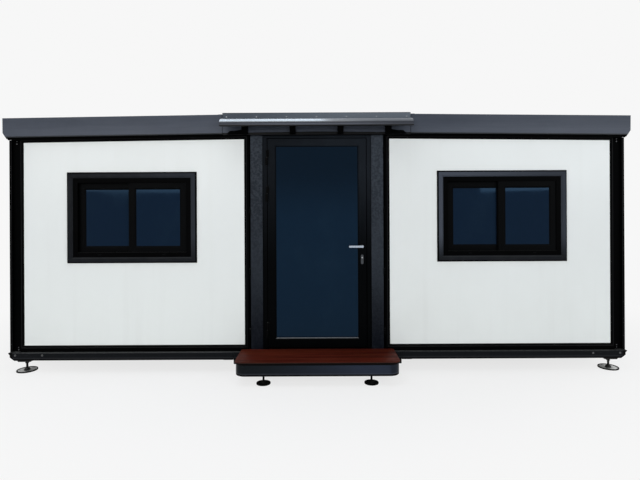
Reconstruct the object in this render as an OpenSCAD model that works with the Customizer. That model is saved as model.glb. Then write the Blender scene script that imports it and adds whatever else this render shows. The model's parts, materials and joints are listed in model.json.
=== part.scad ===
// Double-wing expandable container house.
// X runs across the door end, the door faces -Y, +Z is up.
// Origin: middle of the whole outline, on the ground. All sizes in millimetres.

/* [House] */
// Width over the outer wall faces
house_w = 6300; // [6200:10:6400]
// Length over the end wall faces
house_l = 5900; // [5400:50:6400]
// Fall of the wing roofs, in percent
roof_fall = 1.2; // [0.8:0.1:1.6]
// Height of the wall tops beside the core
wall_top_z = 2412; // [2406:2:2430]
// Thickness of the end walls
frame_d = 75; // [70:1:85]

/* [Base] */
// Underside of the wing base beams above the ground
base_z = 126; // [120:2:140]
// Height of the wing base beams
base_h = 80; // [74:2:84]
// Underside of the core base beams above the ground
core_base_z = 83; // [70:1:95]
// Half width of the core base
core_base_x = 855; // [840:5:870]
// Reach of the base beams in front of the end walls
base_out = 30; // [20:1:35]
// Thickness of the floor boards
floor_t = 20; // [16:1:22]

/* [Core] */
// Width of the doorway between the core posts
core_gap = 1116; // [1100:2:1120]
// Side of the square core posts
post_w = 122; // [112:2:124]
// Half width of the core roof
core_roof_x = 955; // [940:5:970]
// Top of the core roof edge cover
core_top_z = 2639; // [2634:1:2650]

/* [Wing walls] */
// Distance from the centre line to a wing wall frame
wing_x = 697; // [695:1:700]
// Width of the frame bar beside the core
bar_in = 45; // [40:1:50]
// Width of the frame bar at the outer corner
bar_out = 35; // [30:1:45]
// Width of the frame bar along the bottom
bar_bottom = 62; // [50:1:70]
// Width of the frame bar along the top
bar_top = 30; // [26:1:34]
// Thickness of the side walls
side_t = 100; // [92:2:108]
// Number of sandwich panels along a side wall
side_panels = 5; // [4:1:7]

/* [Windows] */
// Width over the window casing
window_w = 1320; // [1200:10:1360]
// Height over the window casing
window_h = 923; // [880:5:950]
// Distance from the centre line to the middle of an end window
window_x = 1898; // [1880:2:1910]
// Height of the window middle above the ground
window_z = 1580; // [1540:5:1600]

/* [Door] */
// Height of the leaf's underside
leaf_z0 = 240; // [238:1:248]
// Height of the leaf's top edge
leaf_z1 = 2383; // [2366:1:2384]
// Thickness of the leaf
leaf_t = 50; // [46:1:54]
// Visible width of the leaf's stiles
stile_w = 80; // [74:1:88]
// Height of the lever above the ground
lever_z = 1274; // [1200:2:1300]

/* [Rain hood] */
// Reach of the hood in front of the edge cover
hood_d = 165; // [140:5:190]
// Height of the curved part
hood_h = 84; // [76:2:90]
// Number of gusset brackets
bracket_n = 4; // [3:1:4]

/* [Step] */
// Reach of the step in front of the door end
step_d = 430; // [400:10:460]
// Width over the step box
box_w = 1548; // [1450:2:1580]
// Underside of the step box above the ground
step_z = 96; // [88:1:104]
// Radius of the box's upright corners
step_r = 95; // [70:5:110]
// Radius of the plank's front corners
plank_r = 60; // [20:5:80]

/* [Hidden] */
$fn = 48;

// finishes
graphite = "#4d525c";
black_steel = "#1c1d20";
post_grey = "#33383f";
casing_grey = "#24272b";
panel_white = "#dfe5e4";
ceiling_white = "#e8e8e4";
glass_blue = "#1b2f45";
redwood = "#5a2318";
board_grey = "#8d8a84";
zinc = "#a9adb0";
steel_bright = "#c2c6ca";

// roof-edge covers: their overhang past the walls and the sheet they are folded from
cover_out = 40;
sheet_t = 4;

// planes of the end walls, with the whole outline centred on Y
front_y = -(house_l + cover_out - step_d) / 2;
rear_y = front_y + house_l;
mid_y = (front_y + rear_y) / 2;
half_w = house_w / 2;

// levels
base_top = base_z + base_h;
floor_top = base_top + floor_t;
core_roof_z = wall_top_z + 3;
fall = roof_fall / 100;
fall_a = atan(fall);

// end and side walls: the panel skins sit a little behind the frame faces
side_x = half_w - side_t;
wall_out_x = side_x - 5;
skin_in = 8;
panel_t = frame_d - 2 * skin_in;
joist_pitch = 590;

function top_at(x) = wall_top_z - (x - wing_x) * fall;

// ---------- shared shapes ----------

module both_sides() {
    children();
    mirror([1, 0, 0]) children();
}

module at_rear() {
    translate([0, 2 * mid_y, 0]) mirror([0, 1, 0]) children();
}

module both_ends() {
    children();
    at_rear() children();
}

// the slope of the right wing's roof: X down the slope, Z square to it
module on_wing_slope() {
    translate([wing_x, 0, wall_top_z]) rotate([0, fall_a, 0]) children();
}

module block(x, y, z) {
    translate([x[0], y[0], z[0]]) cube([x[1] - x[0], y[1] - y[0], z[1] - z[0]]);
}

// an outline in the XZ plane, extruded from y0 to y1
module slab_xz(y0, y1) {
    translate([0, y1, 0]) rotate([90, 0, 0]) linear_extrude(y1 - y0) children();
}

// an outline in the YZ plane, extruded from x0 to x1
module run_x(x0, x1) {
    translate([x0, 0, 0]) rotate([90, 0, 90]) linear_extrude(x1 - x0) children();
}

module stadium(w, h) {
    square([w, h - w], center = true);
    for (s = [-1, 1]) translate([0, s * (h - w) / 2]) circle(d = w);
}

// cold-formed channel outline with rounded heels, open towards +X, with small lips
module channel(w, h, t, lip, r = 8) {
    difference() {
        union() {
            translate([r, 0]) square([w - r, h]);
            translate([0, r]) square([w, h - 2 * r]);
            for (y = [r, h - r]) translate([r, y]) circle(r = r);
        }
        translate([t, t]) square([w, h - 2 * t]);
    }
    translate([w - t, 0]) square([t, lip]);
    translate([w - t, h - lip]) square([t, lip]);
}

// a rectangular frame of channel beams, open sides inwards, with tube joists across it
module beam_frame(x0, x1, y0, y1, z0, h, w, joist_w, joist_h) {
    wall = 5;
    lip = 18;
    tube_wall = 4;
    n = ceil((y1 - y0 - w) / joist_pitch);
    step = (y1 - y0 - w) / n;
    joist_z = z0 + h - wall - joist_h;
    for (side = [0, 1])
        translate([side * (x0 + x1), 0, 0]) mirror([side, 0, 0])
            translate([x0, 0, z0]) slab_xz(y0, y1) channel(w, h, wall, lip);
    for (end = [0, 1])
        translate([0, end * (y0 + y1), 0]) mirror([0, end, 0])
            translate([0, y0, z0]) run_x(x0, x1) channel(w, h, wall, lip);
    for (i = [1 : n - 1])
        translate([0, y0 + w / 2 + i * step, joist_z]) run_x(x0 + wall, x1 - wall) difference() {
            translate([-joist_w / 2, 0]) square([joist_w, joist_h]);
            translate([-joist_w / 2 + tube_wall, tube_wall])
                square([joist_w - 2 * tube_wall, joist_h - 2 * tube_wall]);
        }
}

// a mitred ring round the origin in the XZ plane, w by h outside: the child outline has
// X inwards from the outer edge and Y towards the room, and is at most d wide
module mitred_ring(w, h, d) {
    deep = 200;
    for (k = [0 : 3]) {
        len = k % 2 == 0 ? w : h;
        half = k % 2 == 0 ? h / 2 : w / 2;
        rotate([0, 90 * k, 0]) intersection() {
            translate([0, 0, -half]) rotate([0, -90, 0]) linear_extrude(len, center = true) children();
            slab_xz(-deep, deep) polygon([[-len / 2, -half], [len / 2, -half],
                [len / 2 - d, -half + d], [-len / 2 + d, -half + d]]);
        }
    }
}

// ---------- base and floors ----------

module core_base_frame() {
    color(black_steel)
        beam_frame(-core_base_x, core_base_x, front_y - base_out, rear_y + base_out,
            core_base_z, base_top - core_base_z, 122, 50, 80);
}

// corner fitting of a wing base: a closed block whose underside is cut back above the jack foot
corner_w = 168;

module corner_fitting() {
    step_in = [14, 22];
    cut = [46, 34];
    slab_xz(front_y - base_out, front_y - base_out + corner_w)
        polygon([[half_w - corner_w, base_z], [half_w - step_in[0] - cut[0], base_z],
            [half_w - step_in[0], base_z + cut[1]], [half_w - step_in[0], base_top - step_in[1]],
            [half_w, base_top - 8], [half_w, base_top], [half_w - corner_w, base_top]]);
}

module wing_bases() {
    color(black_steel) both_sides() {
        difference() {
            beam_frame(core_base_x + 3, half_w, front_y - base_out, rear_y + base_out,
                base_z, base_h, side_t, 50, 60);
            both_ends() block([half_w - corner_w, half_w + 1],
                [front_y - base_out - 1, front_y - base_out + corner_w], [base_z - 1, base_top + 1]);
        }
        both_ends() corner_fitting();
    }
}

module core_floor() {
    color(board_grey)
        block([-core_base_x, core_base_x], [front_y + post_w, rear_y - post_w], [base_top, floor_top]);
}

module wing_floors() {
    color(board_grey) both_sides()
        block([core_base_x + 3, side_x], [front_y + frame_d, rear_y - frame_d], [base_top, floor_top]);
}

// ---------- core ----------

// square tube post with an end plate inside each end
module core_post() {
    wall = 5;
    plate = 10;
    post_x = core_gap / 2;
    difference() {
        block([post_x, post_x + post_w], [front_y, front_y + post_w], [base_top, core_roof_z]);
        block([post_x + wall, post_x + post_w - wall], [front_y + wall, front_y + post_w - wall],
            [base_top + plate, core_roof_z - plate]);
    }
}

module front_posts() {
    color(post_grey) both_sides() core_post();
}

module rear_posts() {
    color(post_grey) at_rear() both_sides() core_post();
}

core_frame_h = 120;
core_panel_t = 75;

module core_roof_frame() {
    color(black_steel)
        beam_frame(-core_roof_x, core_roof_x, front_y, rear_y, core_roof_z, core_frame_h, 110, 50, 80);
}

// outline of a roof panel: flat underside, trapezoid ribs on top
module ribbed_outline(length, t, rib_h, n) {
    foot = 32;
    crown = 16;
    pitch = length / n;
    ribs = [for (i = [0 : n - 1]) let (m = (i + 0.5) * pitch) each
        [[m - foot, t], [m - crown, t + rib_h], [m + crown, t + rib_h], [m + foot, t]]];
    polygon(concat([[0, 0], [0, t]], ribs, [[length, t], [length, 0]]));
}

// core roof: ribbed panel with a raised flashing along each side that laps the wing roofs
module core_roof_panel() {
    flash_w = 60;
    lap = 50;
    lip = 3;
    flash_t = 6;
    panel_z = core_roof_z + core_frame_h;
    flash_z = core_top_z - 12;
    color(graphite) {
        slab_xz(front_y, rear_y) translate([-core_roof_x, panel_z])
            ribbed_outline(2 * core_roof_x, core_panel_t, 18, 6);
        both_sides() slab_xz(front_y, rear_y) {
            translate([core_roof_x - flash_w, panel_z]) square([flash_w, flash_z - panel_z]);
            translate([core_roof_x - flash_w, flash_z]) square([flash_w + lap, flash_t]);
            translate([core_roof_x + lap - lip, flash_z - lip]) square([lip, 2 * lip]);
        }
    }
}

// front and rear covers of the core roof: face, top return and bottom return
module core_fascias() {
    h = core_top_z - core_roof_z;
    color(graphite) both_ends()
        translate([0, front_y - cover_out, core_roof_z]) run_x(-core_roof_x, core_roof_x) {
            square([sheet_t, h]);
            square([cover_out, sheet_t]);
            translate([0, h - sheet_t]) square([cover_out + 20, sheet_t]);
        }
}

// ---------- wing roofs ----------
// on the slope, u runs outwards from the wing wall and z up from the wall tops

frame_h = 100;
wing_panel_t = 75;
rib_h = 25;
rib_n = 24;
cover_h = 213;
wing_len = half_w - wing_x;
seam_u = core_roof_x + 5 - wing_x;
edge_u = wing_len + cover_out;
slant_z = 62;
cover_foot_z = 17;
strip_t = 4;

// angle strip along the foot of each end beam, hanging over the joint with the wall below
module drip_strip() {
    reach = 25;
    drop = 8;
    translate([0, front_y, 0]) run_x(seam_u, wing_len) {
        translate([-reach, cover_foot_z - strip_t]) square([reach, strip_t]);
        translate([-reach, -drop]) square([strip_t, cover_foot_z + drop]);
    }
}

module wing_roof_frames() {
    color(black_steel) both_sides() on_wing_slope() {
        beam_frame(seam_u, wing_len, front_y, rear_y, 0, frame_h, 60, 50, 70);
        both_ends() intersection() {
            drip_strip();
            slanted_end(front_y - cover_out, front_y);
        }
    }
}

// sandwich slab under a ribbed sheet that runs on over the side cover as a drip edge
module wing_roof() {
    color(graphite) on_wing_slope() {
        translate([0, 0, frame_h]) run_x(seam_u, wing_len)
            translate([front_y, 0]) square([house_l, wing_panel_t - sheet_t]);
        translate([0, 0, frame_h + wing_panel_t - sheet_t]) run_x(seam_u, edge_u)
            translate([front_y, 0]) ribbed_outline(house_l, sheet_t, rib_h, rib_n);
    }
}

module left_wing_roof() { mirror([1, 0, 0]) wing_roof(); }
module right_wing_roof() { wing_roof(); }

ceiling_t = 10;

module ceiling_boards() {
    color(ceiling_white) {
        both_sides() on_wing_slope()
            block([0, side_x - wing_x], [front_y + frame_d, rear_y - frame_d], [-ceiling_t, 0]);
        block([-wing_x + 1, wing_x - 1], [front_y + post_w, rear_y - post_w],
            [core_roof_z - ceiling_t, core_roof_z]);
    }
}

// front cover outline: face, bottom return, and a top return stiffened by a fold
module cover_outline() {
    fold = 14;
    translate([-cover_out, cover_foot_z]) square([sheet_t, cover_h - cover_foot_z]);
    translate([-cover_out, cover_foot_z]) square([cover_out, sheet_t]);
    translate([-cover_out, cover_h - sheet_t]) square([cover_out + 24, sheet_t]);
    translate([20, cover_h - fold]) square([sheet_t, fold]);
}

// side cover outline: face under the drip edge, slanted underside back to the wall
module side_outline() {
    face_u = edge_u - 6;
    top_z = frame_h + wing_panel_t - sheet_t;
    polygon([[wing_len, top_z], [face_u, top_z], [face_u, slant_z], [wing_len, 0],
        [wing_len, 7], [face_u - sheet_t, slant_z + 2], [face_u - sheet_t, top_z - sheet_t],
        [wing_len, top_z - sheet_t]]);
}

// the front cover's outer end follows the slant of the side cover
module slanted_end(y0, y1) {
    slab_xz(y0, y1) polygon([[seam_u, -60], [wing_len - 6, -60], [wing_len - 6, -10], [wing_len, 0],
        [edge_u, slant_z], [edge_u, cover_h], [seam_u, cover_h]]);
}

// plate that closes the outer end of a front cover
module end_plate() {
    foot_u = wing_len + cover_out * cover_foot_z / slant_z;
    slab_xz(front_y - cover_out, front_y) polygon([[foot_u - 3, cover_foot_z], [foot_u, cover_foot_z],
        [edge_u, slant_z], [edge_u, cover_h], [edge_u - 3, cover_h], [edge_u - 3, slant_z + 2],
        [foot_u - 3, cover_foot_z + 4]]);
}

module wing_fascia() {
    color(graphite) on_wing_slope() {
        both_ends() intersection() {
            translate([0, front_y, 0]) run_x(seam_u, edge_u) cover_outline();
            slanted_end(front_y - cover_out, front_y + 30);
        }
        both_ends() end_plate();
        slab_xz(front_y - cover_out, rear_y + cover_out) side_outline();
    }
}

module left_wing_fascia() { mirror([1, 0, 0]) wing_fascia(); }
module right_wing_fascia() { wing_fascia(); }

// ---------- rain hood ----------
// drawn from the face of the core cover: X is negative forwards, Y is up

hood_face_y = front_y - cover_out;
hood_flange = 62;
hood_base_z = core_top_z - 3 - hood_flange - hood_h;
hood_clear = 4;
bracket_foot = 72;

function hood_curve(a, b, top) = [for (q = [0 : 5 : top]) [-a * cos(q), b * sin(q)]];
function reversed(v) = [for (i = [len(v) - 1 : -1 : 0]) v[i]];

// quarter-ellipse sheet: back flange, curve, a drop at the nose and a folded hem
module hood_sheet() {
    t = 3;
    drop = 18;
    hem = 14;
    nose = -hood_d;
    crown = 85;
    color(graphite) translate([0, hood_face_y, hood_base_z]) run_x(-core_roof_x, core_roof_x)
        polygon(concat([[0, hood_h + hood_flange], [-t, hood_h + hood_flange], [-t, hood_h]],
            reversed(hood_curve(hood_d, hood_h, crown)),
            [[nose, -drop], [nose + hem, -drop], [nose + hem, t + 6 - drop], [nose + hem - t, t + 6 - drop],
                [nose + hem - t, t - drop], [nose + t, t - drop]],
            hood_curve(hood_d - t, hood_h - t, crown), [[0, hood_h - t]]));
}

// gusset: web under the sheet, cut hollow below, with a wide flange along the hollow edge
module hood_bracket() {
    web_t = 5;
    flange_w = 60;
    flange_t = 4;
    reach = hood_d - hood_clear;
    rise = hood_h - hood_clear;
    hollow = [-164, -bracket_foot - 4];
    hollow_r = 134;
    module web() {
        difference() {
            polygon(concat([[-reach, -4]], hood_curve(reach, rise, 90), [[0, -bracket_foot],
                [-12, -bracket_foot]]));
            translate(hollow) circle(r = hollow_r, $fn = 96);
            translate([-32, 38]) circle(r = 14);
        }
    }
    run_x(-web_t / 2, web_t / 2) web();
    run_x(-flange_w / 2, flange_w / 2) {
        intersection() {
            web();
            translate(hollow) circle(r = hollow_r + flange_t, $fn = 96);
        }
        translate([-sheet_t, -bracket_foot]) square([sheet_t, bracket_foot + rise / 2]);
    }
}

// back plate of an outer bracket: a shoulder that falls outwards in a hollow curve
module shoulder_plate() {
    length = 184;
    hollow = [154, 35];
    slab_xz(-sheet_t, 0) difference() {
        polygon([[0, -bracket_foot], [length, -bracket_foot], [length, -60], [hollow[0], -hollow[1]],
            [hollow[0], 0], [0, 0]]);
        translate([hollow[0], 0]) scale(hollow) circle(r = 1, $fn = 96);
    }
}

module hood_brackets() {
    pitch = 484;
    color(black_steel) translate([0, hood_face_y, hood_base_z]) {
        for (i = [0 : bracket_n - 1])
            translate([(i - (bracket_n - 1) / 2) * pitch, 0, 0]) hood_bracket();
        both_sides() translate([(bracket_n - 1) / 2 * pitch, 0, 0]) shoulder_plate();
    }
}

// ---------- end walls ----------

// outline of one wing end between floor and sloping roof, inset by the four bar widths
module wall_outline(inner, outer, bottom, top) {
    x0 = wing_x + inner;
    x1 = wall_out_x - outer;
    polygon([[x0, base_top + bottom], [x1, base_top + bottom],
        [x1, top_at(x1) - top], [x0, top_at(x0) - top]]);
}

casing_w = 55;

// white sandwich panel of a wing end
module end_wall() {
    color(panel_white) slab_xz(front_y + skin_in, front_y + frame_d - skin_in) difference() {
        wall_outline(bar_in, bar_out, bar_bottom, bar_top);
        translate([window_x, window_z])
            square([window_w - 2 * casing_w, window_h - 2 * casing_w], center = true);
    }
}

module front_right_wall() { end_wall(); }
module front_left_wall() { mirror([1, 0, 0]) end_wall(); }
module rear_right_wall() { at_rear() end_wall(); }
module rear_left_wall() { mirror([1, 0, 0]) at_rear() end_wall(); }

// steel frame of a wing end with a gasket rebate round the panel, in front and behind
module end_frame() {
    rebate_w = 12;
    rebate_d = 16;
    module bars(narrow) difference() {
        wall_outline(0, 0, 0, 0);
        wall_outline(bar_in - narrow, bar_out - narrow, bar_bottom - narrow, bar_top - narrow);
    }
    slab_xz(front_y, front_y + frame_d) bars(rebate_w);
    slab_xz(front_y + rebate_d, front_y + frame_d - rebate_d) bars(0);
}

module front_wall_frames() {
    color(black_steel) both_sides() end_frame();
}

module rear_wall_frames() {
    color(black_steel) both_sides() at_rear() end_frame();
}

// ---------- side walls ----------

side_in = 30;
side_bar = 60;
side_top_z = top_at(half_w);
side_window_y = house_l / 4;
side_y0 = front_y + side_in + side_bar;
side_y1 = rear_y - side_in - side_bar;

// outline in plan of one sandwich panel: tongue on one edge, groove on the other
module panel_plan(y0, y1, first, last) {
    x0 = side_x + 18;
    x1 = half_w - skin_in;
    joint = 1.5;
    tongue = 12;
    mid = (x0 + x1) / 2;
    a = first ? y0 : y0 + joint;
    b = last ? y1 : y1 - joint;
    difference() {
        union() {
            translate([x0, a]) square([x1 - x0, b - a]);
            if (!last) translate([mid - 10, b]) square([20, tongue]);
        }
        if (!first) translate([mid - 11, a - 1]) square([22, tongue - joint + 1.5]);
        // shallow vee at the outer joint
        if (!first) translate([x1, a]) rotate(45) square(5, center = true);
        if (!last) translate([x1, b]) rotate(45) square(5, center = true);
    }
}

module side_wall() {
    pitch = (side_y1 - side_y0) / side_panels;
    color(panel_white) difference() {
        for (i = [0 : side_panels - 1])
            translate([0, 0, base_top + bar_bottom])
                linear_extrude(side_top_z - bar_top - base_top - bar_bottom)
                    panel_plan(side_y0 + i * pitch, side_y0 + (i + 1) * pitch,
                        i == 0, i == side_panels - 1);
        for (s = [-1, 1])
            translate([side_x, mid_y + s * side_window_y - window_w / 2 + casing_w,
                window_z - window_h / 2 + casing_w])
                cube([side_t, window_w - 2 * casing_w, window_h - 2 * casing_w]);
    }
}

module left_side_wall() { mirror([1, 0, 0]) side_wall(); }
module right_side_wall() { side_wall(); }

module side_wall_frames() {
    color(black_steel) both_sides() difference() {
        block([side_x, half_w], [front_y + side_in, rear_y - side_in], [base_top, side_top_z]);
        block([side_x - 1, half_w + 1], [side_y0, side_y1], [base_top + bar_bottom, side_top_z - bar_top]);
    }
}

// folded strip down each outer corner: a face to the side and a return to the front
module corner_strips() {
    color(post_grey) both_sides() both_ends() difference() {
        block([half_w - 20, half_w], [front_y, front_y + side_in], [base_top, side_top_z - 6]);
        block([half_w - 21, half_w - 4], [front_y + 4, front_y + side_in + 1],
            [base_top - 1, side_top_z]);
    }
}

module rear_core_wall() {
    color(panel_white)
        block([-core_gap / 2, core_gap / 2], [rear_y - frame_d, rear_y - skin_in],
            [base_top, core_roof_z - ceiling_t]);
}

// ---------- sliding windows ----------
// drawn round their own middle: Y = 0 is the wall's outer skin and the room is towards +Y

casing_out = 16;
lip_u = casing_w + 50;
track_u = lip_u - 13;
sash_w = 72;
sash_t = 22;
outer_y = 2;
inner_y = 30;
sash_gap = 3;
lap = 36;
glass_t = 6;
open_w = window_w - 2 * lip_u;
sash_full_w = open_w / 2 + (lip_u - track_u) - sash_gap + lap;
sash_full_h = window_h - 2 * track_u - 6;

// casing with bevelled edges, then the frame with a track for each sash
module frame_profile() {
    polygon([[3, 0], [0, -3], [0, -13], [3, -casing_out], [43, -casing_out], [53, -7], [lip_u - 2, -7],
        [lip_u, -5], [lip_u, 0], [track_u, 0], [track_u, 26], [lip_u, 26], [lip_u, 28],
        [track_u, 28], [track_u, 54], [lip_u, 54], [lip_u, panel_t], [casing_w, panel_t], [casing_w, 0]]);
}

// sash bar with a groove for the glass and bevels towards it
module sash_profile() {
    groove = 12;
    g0 = (sash_t - glass_t) / 2;
    polygon([[0, 1], [1, 0], [sash_w - groove, 0], [sash_w, 5], [sash_w, g0], [sash_w - groove, g0],
        [sash_w - groove, g0 + glass_t], [sash_w, g0 + glass_t], [sash_w, sash_t - 5],
        [sash_w - groove, sash_t], [1, sash_t], [0, sash_t - 1]]);
}

// s = 1 is the outer sash on the right, s = -1 the inner sash on the left; both stand
// on the floor of their track
module in_sash(s) {
    x = open_w / 2 + (lip_u - track_u) - sash_gap - sash_full_w / 2;
    translate([s * x, s > 0 ? outer_y : inner_y, -3]) children();
}

module window_frame() {
    mitred_ring(window_w, window_h, lip_u) frame_profile();
}

// thin fins on the meeting stiles hook past each other
module window_sashes() {
    fin_h = sash_full_h - 50;
    for (s = [-1, 1]) in_sash(s)
        mitred_ring(sash_full_w, sash_full_h, sash_w) sash_profile();
    for (s = [-1, 1]) in_sash(s)
        translate([-s * (sash_full_w / 2 - 30) - 1.5, s > 0 ? sash_t : -4, -fin_h / 2])
            cube([3, 4, fin_h]);
}

module window_glass() {
    bite = 10;
    for (s = [-1, 1]) in_sash(s)
        slab_xz((sash_t - glass_t) / 2, (sash_t + glass_t) / 2)
            square([sash_full_w - 2 * (sash_w - bite), sash_full_h - 2 * (sash_w - bite)], center = true);
}

module at_end_windows() {
    for (end = [0, 1], s = [-1, 1])
        translate([0, 2 * end * mid_y, 0]) rotate([0, 0, 180 * end])
            translate([s * window_x, front_y + skin_in, window_z]) children();
}

module at_side_windows() {
    for (side = [-1, 1], s = [-1, 1])
        translate([side * (half_w - skin_in), mid_y + s * side_window_y, window_z])
            rotate([0, 0, side * 90]) children();
}

module end_window_frames() { color(casing_grey) at_end_windows() window_frame(); }
module end_window_sashes() { color(black_steel) at_end_windows() window_sashes(); }
module end_window_glass() { color(glass_blue) at_end_windows() window_glass(); }
module side_window_frames() { color(casing_grey) at_side_windows() window_frame(); }
module side_window_sashes() { color(black_steel) at_side_windows() window_sashes(); }
module side_window_glass() { color(glass_blue) at_side_windows() window_glass(); }

// ---------- door ----------

jamb_w = 45;
leaf_gap = 7;
leaf_x = core_gap / 2 - jamb_w - leaf_gap;
leaf_y = front_y + 12;
rail_bottom = 88;
rail_top = 75;
jamb_y = front_y + 10;
stop_w = 14;
stop_y = leaf_y + leaf_t + 5;
frame_y1 = stop_y + 40;
sill_z = leaf_z0 - leaf_gap;
head_z = leaf_z1 + leaf_gap;
jamb_x = core_gap / 2 - jamb_w;

// frame with a rebate behind the leaf, and a sill that falls towards the outside
module door_frame() {
    color(black_steel) difference() {
        slab_xz(jamb_y, frame_y1) difference() {
            translate([-core_gap / 2, base_top]) square([core_gap, core_roof_z - base_top]);
            translate([-jamb_x + stop_w, sill_z])
                square([2 * (jamb_x - stop_w), head_z - sill_z - stop_w]);
        }
        block([-jamb_x, jamb_x], [jamb_y - 1, stop_y], [sill_z, head_z]);
        translate([0, jamb_y, sill_z]) run_x(-jamb_x, jamb_x)
            polygon([[-1, -9], [stop_y - jamb_y, 0], [stop_y - jamb_y, 1], [-1, 1]]);
    }
}

glass_w = 2 * (leaf_x - stile_w);
glass_h = leaf_z1 - rail_top - leaf_z0 - rail_bottom;
glass_mid_z = leaf_z0 + rail_bottom + glass_h / 2;
bead_w = 14;
unit_t = 20;
spindle_x = leaf_x - stile_w / 2 - 4;
bore_r = 12;
lock_down = 134;

// leaf of stiles and rails with glazing beads on both faces
module door_leaf() {
    bead_y = (leaf_t - unit_t) / 2;
    color(black_steel) {
        difference() {
            slab_xz(leaf_y, leaf_y + leaf_t) difference() {
                translate([-leaf_x, leaf_z0]) square([2 * leaf_x, leaf_z1 - leaf_z0]);
                translate([0, glass_mid_z])
                    square([glass_w + 2 * bead_w, glass_h + 2 * bead_w], center = true);
            }
            translate([spindle_x, leaf_y - 1, lever_z]) rotate([-90, 0, 0])
                cylinder(r = bore_r, h = leaf_t + 2);
        }
        translate([0, leaf_y, glass_mid_z]) mitred_ring(glass_w + 2 * bead_w, glass_h + 2 * bead_w, bead_w)
            polygon([[0, 0], [4, 0], [bead_w, 7], [bead_w, bead_y], [0, bead_y]]);
        translate([0, leaf_y + leaf_t, glass_mid_z])
            mitred_ring(glass_w + 2 * bead_w, glass_h + 2 * bead_w, bead_w)
                polygon([[0, 0], [4, 0], [bead_w, -7], [bead_w, -bead_y], [0, -bead_y]]);
    }
}

module door_glass() {
    color(glass_blue) slab_xz(leaf_y + (leaf_t - unit_t) / 2, leaf_y + (leaf_t + unit_t) / 2)
        translate([0, glass_mid_z])
            square([glass_w + 2 * bead_w - 4, glass_h + 2 * bead_w - 4], center = true);
}

// lift-off hinges: the lower half with its pin stays on the jamb
barrel_r = 9;
hinge_x = -leaf_x - leaf_gap / 2;
hinge_y = jamb_y - barrel_r;
hinge_h = 156;
pin_r = 5;
hinge_z = [420, 1816, 2190];
hinge_plate = 3;
hinge_reach = 20;

module door_hinge_pins() {
    cap = 3;
    color(black_steel) for (z = hinge_z) translate([hinge_x, hinge_y, z - hinge_h / 2]) {
        rotate_extrude() polygon([[0, 0], [barrel_r - cap, 0], [barrel_r, cap],
            [barrel_r, hinge_h / 2], [pin_r, hinge_h / 2], [pin_r, hinge_h - 14],
            [pin_r - 2, hinge_h - 10], [0, hinge_h - 10]]);
        translate([-hinge_reach, barrel_r - hinge_plate, 0])
            cube([hinge_reach, hinge_plate, hinge_h / 2]);
    }
}

// the upper half sits on the leaf and turns on the pin
module door_hinge_barrels() {
    cap = 3;
    top = hinge_h / 2 - 1;
    bore_top = hinge_h / 2 - 8;
    color(black_steel) for (z = hinge_z) translate([hinge_x, hinge_y, z + 1]) difference() {
        union() {
            rotate_extrude() polygon([[0, 0], [barrel_r, 0], [barrel_r, top - cap], [barrel_r - cap, top],
                [0, top]]);
            translate([0, leaf_y - hinge_y - hinge_plate, 0]) cube([hinge_reach, hinge_plate, top]);
        }
        translate([0, 0, -1]) cylinder(r = pin_r + 0.1, h = bore_top + 1);
    }
}

// lever handles inside and outside on one spindle
lever_reach = 52;
rose_t = 8;

module lever_arm() {
    arm_l = 148;
    arm_h = 20;
    arm_t = 11;
    // blade with a round hub end, and a short return at the tip
    slab_xz(-lever_reach - arm_t / 2, -lever_reach + arm_t / 2) {
        circle(d = arm_h + 4);
        translate([-arm_l + arm_h, -arm_h / 2]) square([arm_l - arm_h, arm_h]);
        translate([-arm_l + arm_h, 0]) circle(d = arm_h);
    }
    slab_xz(-lever_reach, -lever_reach + 26) intersection() {
        translate([-arm_l + arm_h, 0]) circle(d = arm_h);
        translate([-arm_l + arm_h / 2 - 1, -arm_h / 2]) square([12, arm_h]);
    }
    translate([0, -lever_reach, 0]) rotate([-90, 0, 0]) cylinder(r = 9.5, h = lever_reach - 4);
}

module door_lever() {
    color(steel_bright) translate([spindle_x, leaf_y, lever_z]) {
        lever_arm();
        translate([0, leaf_t, 0]) mirror([0, 1, 0]) lever_arm();
        translate([0, -10, 0]) rotate([-90, 0, 0]) cylinder(r = 6, h = leaf_t + 20);
    }
}

// round roses and long oval lock plates with a cylinder nose, on both faces of the leaf
module door_lock_plates() {
    rose_r = 17;
    module side_set() {
        rotate([90, 0, 0]) rotate_extrude() polygon([[bore_r, 0], [rose_r, 0], [rose_r, rose_t - 3],
            [rose_r - 3, rose_t], [bore_r, rose_t]]);
        translate([0, 0, -lock_down]) {
            slab_xz(-6, 0) stadium(26, 98);
            slab_xz(-11, -6) {
                translate([0, 18]) circle(d = 17);
                translate([-5, -6]) square([10, 24]);
                translate([0, -6]) circle(d = 10);
            }
        }
    }
    color(steel_bright) {
        translate([spindle_x, leaf_y, lever_z]) side_set();
        translate([spindle_x, leaf_y + leaf_t, lever_z]) mirror([0, 1, 0]) side_set();
    }
}

// fold hinges between the core posts and the wing wall frames, their leaves inside the gap
module wing_wall_hinges() {
    gap = wing_x - core_gap / 2 - post_w;
    half_h = 35;
    leaf_d = 48;
    leaf_in = 3;
    cut = 1.2;
    module fold_hinge() {
        r = gap / 2;
        rotate_extrude() polygon([[0, -half_h], [r - 3, -half_h], [r, -half_h + 3], [r, -12 - cut],
            [r - cut, -12], [r, -12 + cut], [r, 12 - cut], [r - cut, 12], [r, 12 + cut],
            [r, half_h - 3], [r - 3, half_h], [0, half_h]]);
        for (s = [-1, 1])
            block([s * (r - leaf_in / 2) - leaf_in / 2, s * (r - leaf_in / 2) + leaf_in / 2],
                [0, leaf_d], [-half_h, half_h]);
    }
    color(black_steel) both_ends() both_sides() for (z = [400, 1014, 1641, 2258])
        translate([wing_x - gap / 2, front_y - 4, z]) fold_hinge();
}

// ---------- step ----------

plank_over = 6;
plank_t = 20;
step_leg_x = 512;
step_leg_y = [-345, -95];

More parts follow.
